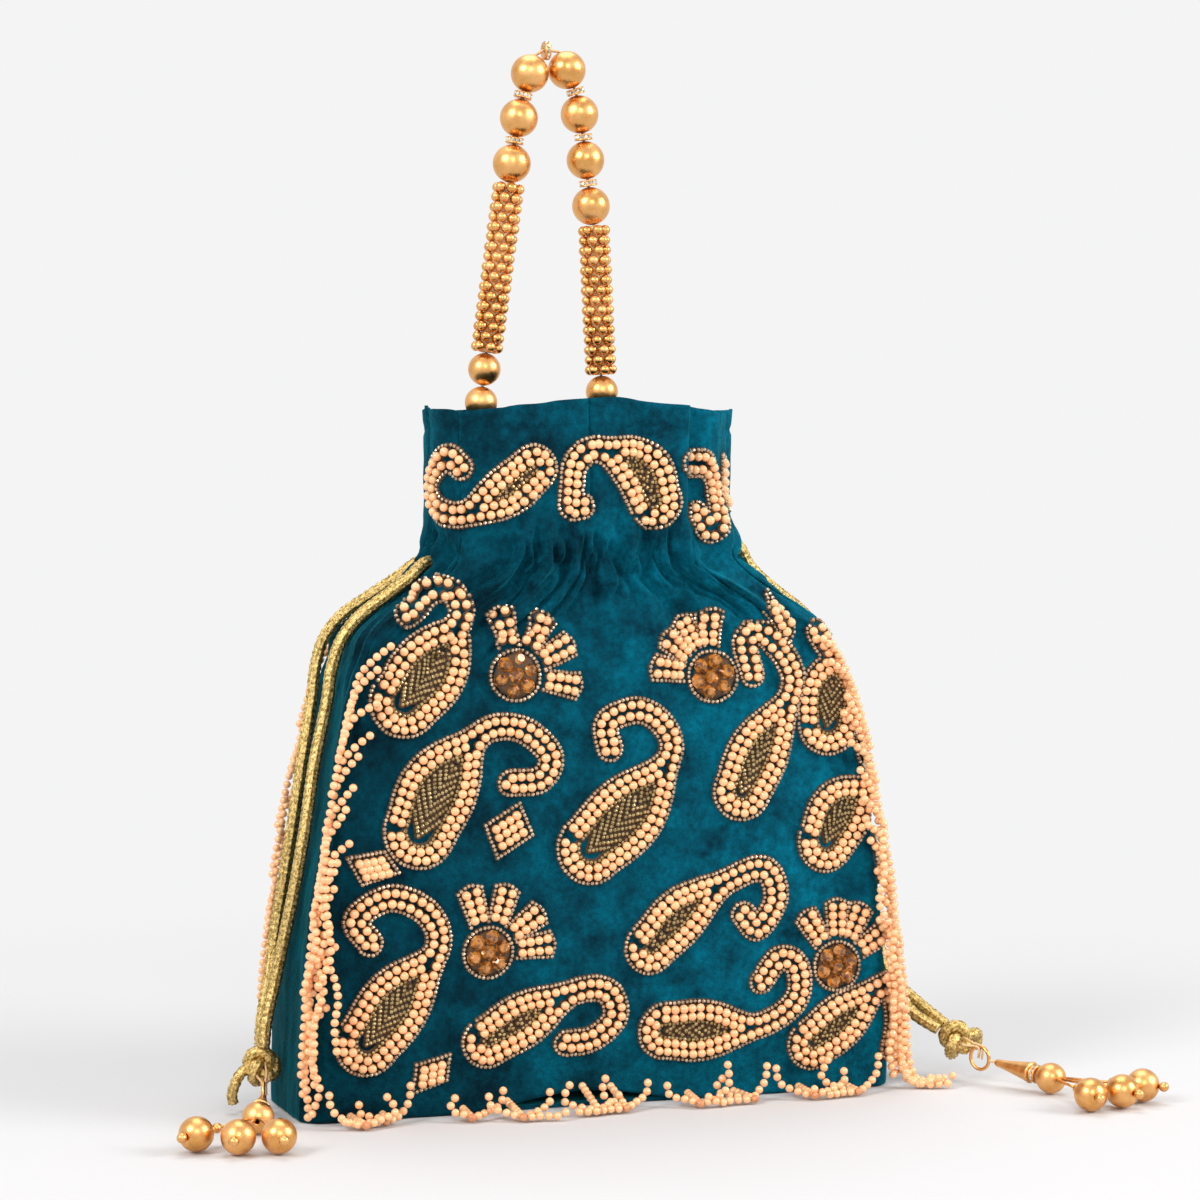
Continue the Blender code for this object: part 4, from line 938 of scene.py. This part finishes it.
# Each pair shares x and z, in millimetres: (x, z, y of the first cord, y of the second). The right
# pair parts near the floor, where RIGHT_ENDS gives each cord its own (x, y, z).
LEFT_PAIR = ((-50.2, 173, 2.6, -2.6), (-54.5, 173.5, 3.6, -4.2), (-61, 168.5, 6, -7), (-69.5, 162.5, 9, -7.5),
             (-77.5, 156.5, 12, -7.5), (-83.2, 149, 13, -7.5), (-86, 140, 13, -7), (-87.5, 130, 12, -7),
             (-91.7, 111, 8, -7.5), (-95, 93, 6.5, -9.5), (-98, 74, 7, -8), (-100.5, 58, 8, -4.5),
             (-103, 43, 7, -1.5), (-106, 30, 4.6, -1.4), (-107, 20.95, 3.6, -1.2))
RIGHT_PAIR = ((48.2, 178.5, -2.6, 2.6), (53.6, 177.6, -2, 3.4), (58.6, 170.5, -0.5, 5), (67.6, 163, 0.5, 6.5),
              (76.4, 156.5, 0.5, 6.5), (83.2, 149, 0, 6), (86.2, 140, -1, 5), (88.3, 130, -2, 4.2),
              (93, 111, -3.5, 3.4), (95.2, 93, -4, 3), (98, 74, -4, 3))
RIGHT_ENDS = (((101, -4.5, 56), (103.5, -5.5, 42), (107, -9, 29), (112, -14, 21.5), (118.2, -19.8, 16.8)),
              ((101.5, 2, 56), (105.5, 0, 42), (110.5, -4, 30.5), (116, -9.5, 24), (121.9, -17.4, 17.8)))
CORD = 0.0042
for name, pair, which, end in (
        ("left_cord_outer", LEFT_PAIR, 0, ()), ("left_cord_inner", LEFT_PAIR, 1, ()),
        ("right_cord_front", RIGHT_PAIR, 0, RIGHT_ENDS[0]), ("right_cord_back", RIGHT_PAIR, 1, RIGHT_ENDS[1])):
    route = [(x, y[which], z) for x, z, *y in pair] + list(end)
    path = smooth_route([Vector(p) * MM for p in route], 0.00045)
    bm = bmesh.new()
    tube(bm, path, braid(CORD / 2), sides=24)
    cord = piece(f"{name}_braid", bm, LUREX, "bag", "lurex_cord", [name])

# %% [markdown]
# ## The hand loop
# A string carries seven large balls, three small balls, six rondelles set with rhinestones and two
# sleeves woven from small beads. The balls are turned from a profile with a bore, so that the string
# can go through them. A sleeve is rings of six beads, each ring turned half a bead against the last,
# as a weaver would place them, round a thin tube of thread.

# %% Balls, rondelles and sleeves
BALL, SMALL_BALL, HEAD_BALL, DROP_BALL = 0.0062, 0.0053, 0.0050, 0.00535
SLEEVE_PITCH, SLEEVE_RADIUS, SLEEVE_BEAD = 0.00325, 0.00368, 0.00174
RONDELLE_RIM = [(0.0009, 0.0010), (0.0028, 0.0010), (0.0031, 0.0007), (0.0025, 0.0004), (0.0025, -0.0004),
                (0.0031, -0.0007), (0.0028, -0.0010), (0.0009, -0.0010), (0.0009, 0.0010)]


def node_centre(node):
    low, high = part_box(node)
    return (low + high) / 2


def ball_profile(radius, bore=0.0009, arcs=22):
    top = math.acos(bore / radius)
    curve = [(radius * math.cos(top - 2 * top * k / arcs), radius * math.sin(top - 2 * top * k / arcs))
             for k in range(arcs + 1)]
    return [(bore * 0.9, curve[0][1] - 0.0012), *curve, (bore * 0.9, curve[-1][1] + 0.0012)]


def rondelle(name, node, centre, axis, body):
    """Two gold rims with rhinestones between them."""
    turned_piece(f"{name}_hub", RONDELLE_RIM, 32, centre, axis, GOLD, body, "gold_bead")
    places = []
    for x, y in ring_of(1, np.arange(12) * math.pi / 6):
        out = turned_to(axis) @ Vector((x, y, 0))
        places.append(sized(centre + out * 0.00265, 0.00072, out, 0.7))
    bead_piece(f"{name}_stones", SMALL_BEAD, places, CRYSTAL, body, "rhinestone", [node], False)


def sleeve(node, rows, centre, axis):
    """A tube of thread in rings of six beads."""
    half = rows * SLEEVE_PITCH / 2
    core = [(0.0009, half), (0.0026, half), (0.0026, -half), (0.0009, -half), (0.0009, half)]
    turned_piece(f"{node}_core", core, 16, centre, axis, THREAD, "hand_loop", "thread")
    places = []
    for row in range(rows):
        for x, y in ring_of(SLEEVE_RADIUS, (np.arange(6) + (row % 2) / 2) * math.pi / 3):
            spot = turned_to(axis) @ Vector((x, y, half - (row + 0.5) * SLEEVE_PITCH))
            places.append(sized(centre + spot, SLEEVE_BEAD * chance.uniform(0.96, 1.03)))
    bead_piece(f"{node}_beads", BEAD, places, GOLD, "hand_loop", "gold_bead", [node])


LEANS = {"ball_left_1": 18, "rondelle_left_1": 14, "ball_left_2": 11, "rondelle_left_2": 9, "ball_left_3": 8,
         "sleeve_left": 8.1, "small_ball_left_1": 7, "small_ball_left_2": 5, "ball_right_1": -24,
         "rondelle_right_1": -18, "ball_right_2": -10, "rondelle_right_2": -7, "ball_right_3": -6,
         "rondelle_right_3": -9, "ball_right_4": -8, "sleeve_right": -3, "small_ball_right": -3, "rondelle_apex": 90}
for node, lean in LEANS.items():
    angle = math.radians(lean)
    axis, centre = Vector((math.sin(angle), 0, math.cos(angle))), node_centre(node)
    if node.startswith("rondelle"):
        rondelle(f"{node}_set", node, centre, axis, "hand_loop")
    elif node.startswith("sleeve"):
        sleeve(node, 17 if "left" in node else 15, centre, axis)
    else:
        profile = ball_profile(SMALL_BALL if "small" in node else BALL)
        turned_piece(f"{node}_gold", profile, 40, centre, axis, GOLD, "hand_loop", "gold_bead", [node])
print("hand loop:", len(LEANS), "beads")

# %% [markdown]
# ## Knots and tassels
# The two tails of a side end in one lumpy knot. A gold ring is tied to it, and from the ring hang a
# cone cap, a rondelle and a head ball with three drops that fan out on the floor. The knot is a
# trefoil of braided cord, which has the right lumps and no loose ends. The turned pieces stand
# on the same centres and axes as their CAD nodes.

# %% Knots, rings, cones, balls and drops
TASSELS = {
    "left": (Vector((-107, 1.6, 14.6)), Vector((-108, -5.4, 7.0)), Vector((-116.5, -32.8, 5.1)), (-140, -114.5, -92)),
    "right": (Vector((123.8, -21.8, 13.4)), Vector((129.4, -28.5, 8.0)), Vector((142.3, -54.8, 5.1)),
              (-93, -70, -46)),
}
RING_RADIUS, CONE_HALF, SPACER = 0.0038, 0.0075, 0.0016


def knot_path(centre, turn):
    points = []
    for k in range(150):
        t = 2 * math.pi * k / 150
        around = 0.0030 + 0.0015 * math.cos(3 * t)
        spot = Vector((around * math.cos(2 * t), 0.0021 * math.sin(3 * t), around * math.sin(2 * t) * 1.1))
        points.append(centre + turn @ spot)
    return points


def drop(name, node, start, out, body):
    """Thread, two spacer beads, the ball and its end bead, along out from the head ball's middle."""
    bm = bmesh.new()
    axis = -out
    profile = [(0.0, -0.0053), (0.0005, -0.0053), (0.0005, -0.0196)]
    lathe(bm, [*profile, (0.0, -0.0196)], 10, start, axis)
    for far in (0.0209, 0.0240, 0.0380):
        made = bmesh.ops.create_uvsphere(bm, u_segments=20, v_segments=12, radius=SPACER,
                                         matrix=Matrix.Translation(start + out * far) @ turned_to(axis))
        for v in made["verts"]:
            v.tag = True
    lathe(bm, ball_profile(DROP_BALL, 0.0007), 40, start + out * 0.031, axis)
    lathe(bm, [(0.0, -0.0362), (0.0005, -0.0362), (0.0005, -0.0372), (0.0, -0.0372)], 10, start, axis)
    piece(name, bm, GOLD, body, "gold_bead", [node])


for side, (knot, ring, head, drops) in TASSELS.items():
    tassel = f"{side}_tassel"
    knot, ring, head = knot * MM, ring * MM, head * MM
    ahead = (head - ring).normalized()
    across = ahead.cross(Vector((0, 0, 1))).normalized()
    bm = bmesh.new()
    turn = Matrix.Rotation(0.2 if side == "left" else 0.3, 3, "Z")
    tube(bm, knot_path(knot, turn), braid(0.0022), sides=24, ring=True)
    tails = {"left": [(-1.5, 0, 1), (-7, -1, -2), (-9.5, 0, -8), (-9, 1, -11.5)],
             "right": [(2, -1, 0), (7, 0, 2), (9.5, 3, 0), (10, 5, -4)]}[side]
    tube(bm, smooth_route([knot + Vector(p) * MM for p in tails], 0.0005), braid(0.0018), sides=16)
    piece(f"{side}_knot_braid", bm, LUREX, "bag", "lurex_cord", [f"{side}_knot"])
    bm = bmesh.new()
    for k in range(4):
        bend = Vector((0.0016 * math.cos(k * 1.7), 0.0016 * math.sin(k * 1.7), 0.0006 * k))
        thread = [knot + bend, (knot + ring) / 2 + bend * 1.3, ring + Vector((0, 0, 0.0030)) + bend * 0.5,
                  ring + Vector((0, 0, -0.0005)) + bend * 0.5]
        tube(bm, smooth_route(thread, 0.0006), 0.00038, 6)
    piece(f"{side}_tie_threads", bm, THREAD, "bag", "thread")
    bm = bmesh.new()
    circle = [ring + turned_to(across) @ Vector((x, y, 0))
              for x, y in ring_of(RING_RADIUS, np.linspace(0, 2 * math.pi, 49)[:-1])]
    tube(bm, circle, 0.0006, 12, ring=True)
    piece(f"{side}_ring_gold", bm, GOLD, tassel, "gold_bead", [f"{tassel}_ring"])
    ball_top = (head - ring).length - 0.0053
    cap = ball_top - 0.0020 - 0.0003 - CONE_HALF
    cone = [(0.0, CONE_HALF), (0.0009, CONE_HALF), (0.00125, 0.0070), (0.0013, 0.0060), (0.0017, 0.0030),
            (0.0022, 0.0), (0.0029, -0.0040), (0.0034, -0.0066), (0.0036, -0.0072), (0.0034, -CONE_HALF),
            (0.0, -CONE_HALF)]
    turned_piece(f"{side}_cone_gold", cone, 40, ring + ahead * cap, -ahead, GOLD, tassel, "gold_bead",
                 [f"{side}_cone_cap"])
    bm = bmesh.new()
    tube(bm, [ring + ahead * (RING_RADIUS + t) for t in np.linspace(0, cap - CONE_HALF - 0.0036, 5)], 0.0005, 8)
    piece(f"{side}_cone_thread", bm, THREAD, tassel, "thread")
    rondelle(f"{tassel}_rondelle_set", f"{tassel}_rondelle", ring + ahead * (ball_top - 0.0010), ahead, tassel)
    turned_piece(f"{side}_head_gold", ball_profile(HEAD_BALL), 40, head, ahead, GOLD, tassel, "gold_bead",
                 [f"{side}_head_ball"])
    for k, degrees in enumerate(drops):
        out = Vector((math.cos(math.radians(degrees)), math.sin(math.radians(degrees)), 0))
        drop(f"{side}_drop_{k + 1}_gold", f"{side}_drop_{k + 1}", Vector((head.x, head.y, 0.00545)), out,
             f"{side}_drop_{'abc'[k]}")
print("tassels: two")

# %% [markdown]
# ## The studio
# The bag stands on a pale floor in an even, bright studio. The floor is a plane whose far part gives
# the backdrop's own tone, so no horizon shows, and its near part takes the bag's soft shadow.

# %% The floor
BACKDROP, FLOOR_HEIGHT = (0.905, 0.905, 0.910, 1.0), -0.0003
floor = new_object("floor", simple_mesh("floor", bmesh.ops.create_grid, x_segments=8, y_segments=8, size=4.0))
floor.data.transform(Matrix.Translation((0, 0, FLOOR_HEIGHT)))
paper = bpy.data.materials.new("paper")
paper.use_nodes = True
tree = paper.node_tree
diffuse = tree.nodes["Principled BSDF"]
diffuse.inputs["Base Color"].default_value = (0.655, 0.65, 0.655, 1)
diffuse.inputs["Roughness"].default_value = 0.9
glow, mix = add(tree, "Emission", {"Color": BACKDROP}), add(tree, "MixShader")
place, turn, far = add(tree, "TexCoord"), add(tree, "Mapping"), add(tree, "VectorMath", operation="LENGTH")
fade = add(tree, "MapRange", {"From Min": 0.20, "From Max": 0.50}, interpolation_type="SMOOTHSTEP")
link(tree, (place, "Object", turn, "Vector"), (turn, "Vector", far, 0), (far, "Value", fade, "Value"),
     (fade, "Result", mix, "Fac"), (diffuse, 0, mix, 1), (glow, 0, mix, 2),
     (mix, 0, tree.nodes["Material Output"], "Surface"))
floor.data.materials.append(paper)
print("floor:", len(floor.data.polygons), "faces")

# %% [markdown]
# Camera, glossy and transmission rays that miss the bag see the backdrop's tone, so metal and stones
# show it too. All other rays see a dimmer white, which with four soft lamps lights the bag.

# %% Backdrop and lights
world = bpy.data.worlds.new("studio")
bpy.context.scene.world = world
world.use_nodes = True
tree = world.node_tree
seen = tree.nodes["Background"]
seen.inputs["Color"].default_value, seen.inputs["Strength"].default_value = BACKDROP, 1.0
light = add(tree, "Background", {"Color": (1, 1, 1, 1), "Strength": 0.55})
rays, mix = add(tree, "LightPath"), add(tree, "MixShader")
either, any_ray = (add(tree, "Math", operation="ADD", use_clamp=True) for _ in range(2))
link(tree, (rays, "Is Camera Ray", either, 0), (rays, "Is Transmission Ray", either, 1),
     (either, 0, any_ray, 0), (rays, "Is Glossy Ray", any_ray, 1), (any_ray, 0, mix, "Fac"), (light, 0, mix, 1),
     (seen, 0, mix, 2), (mix, 0, tree.nodes["World Output"], "Surface"))
for name, place, size, power in (("key", (-1.5, -0.75, 1.2), 0.7, 20), ("right", (1.3, -0.9, 0.9), 0.8, 18),
                                 ("front", (-0.4, -2.0, 1.1), 0.7, 9), ("top", (0.1, 0.3, 1.6), 1.0, 9)):
    lamp = bpy.data.lights.new(name, "AREA")
    lamp.size, lamp.energy = size, power
    holder = new_object(name, lamp)
    holder.location = place
    holder.rotation_euler = (Vector((0, 0, 0.13)) - Vector(place)).to_track_quat("-Z", "Y").to_euler()
    print(name, "lamp:", power, "W")
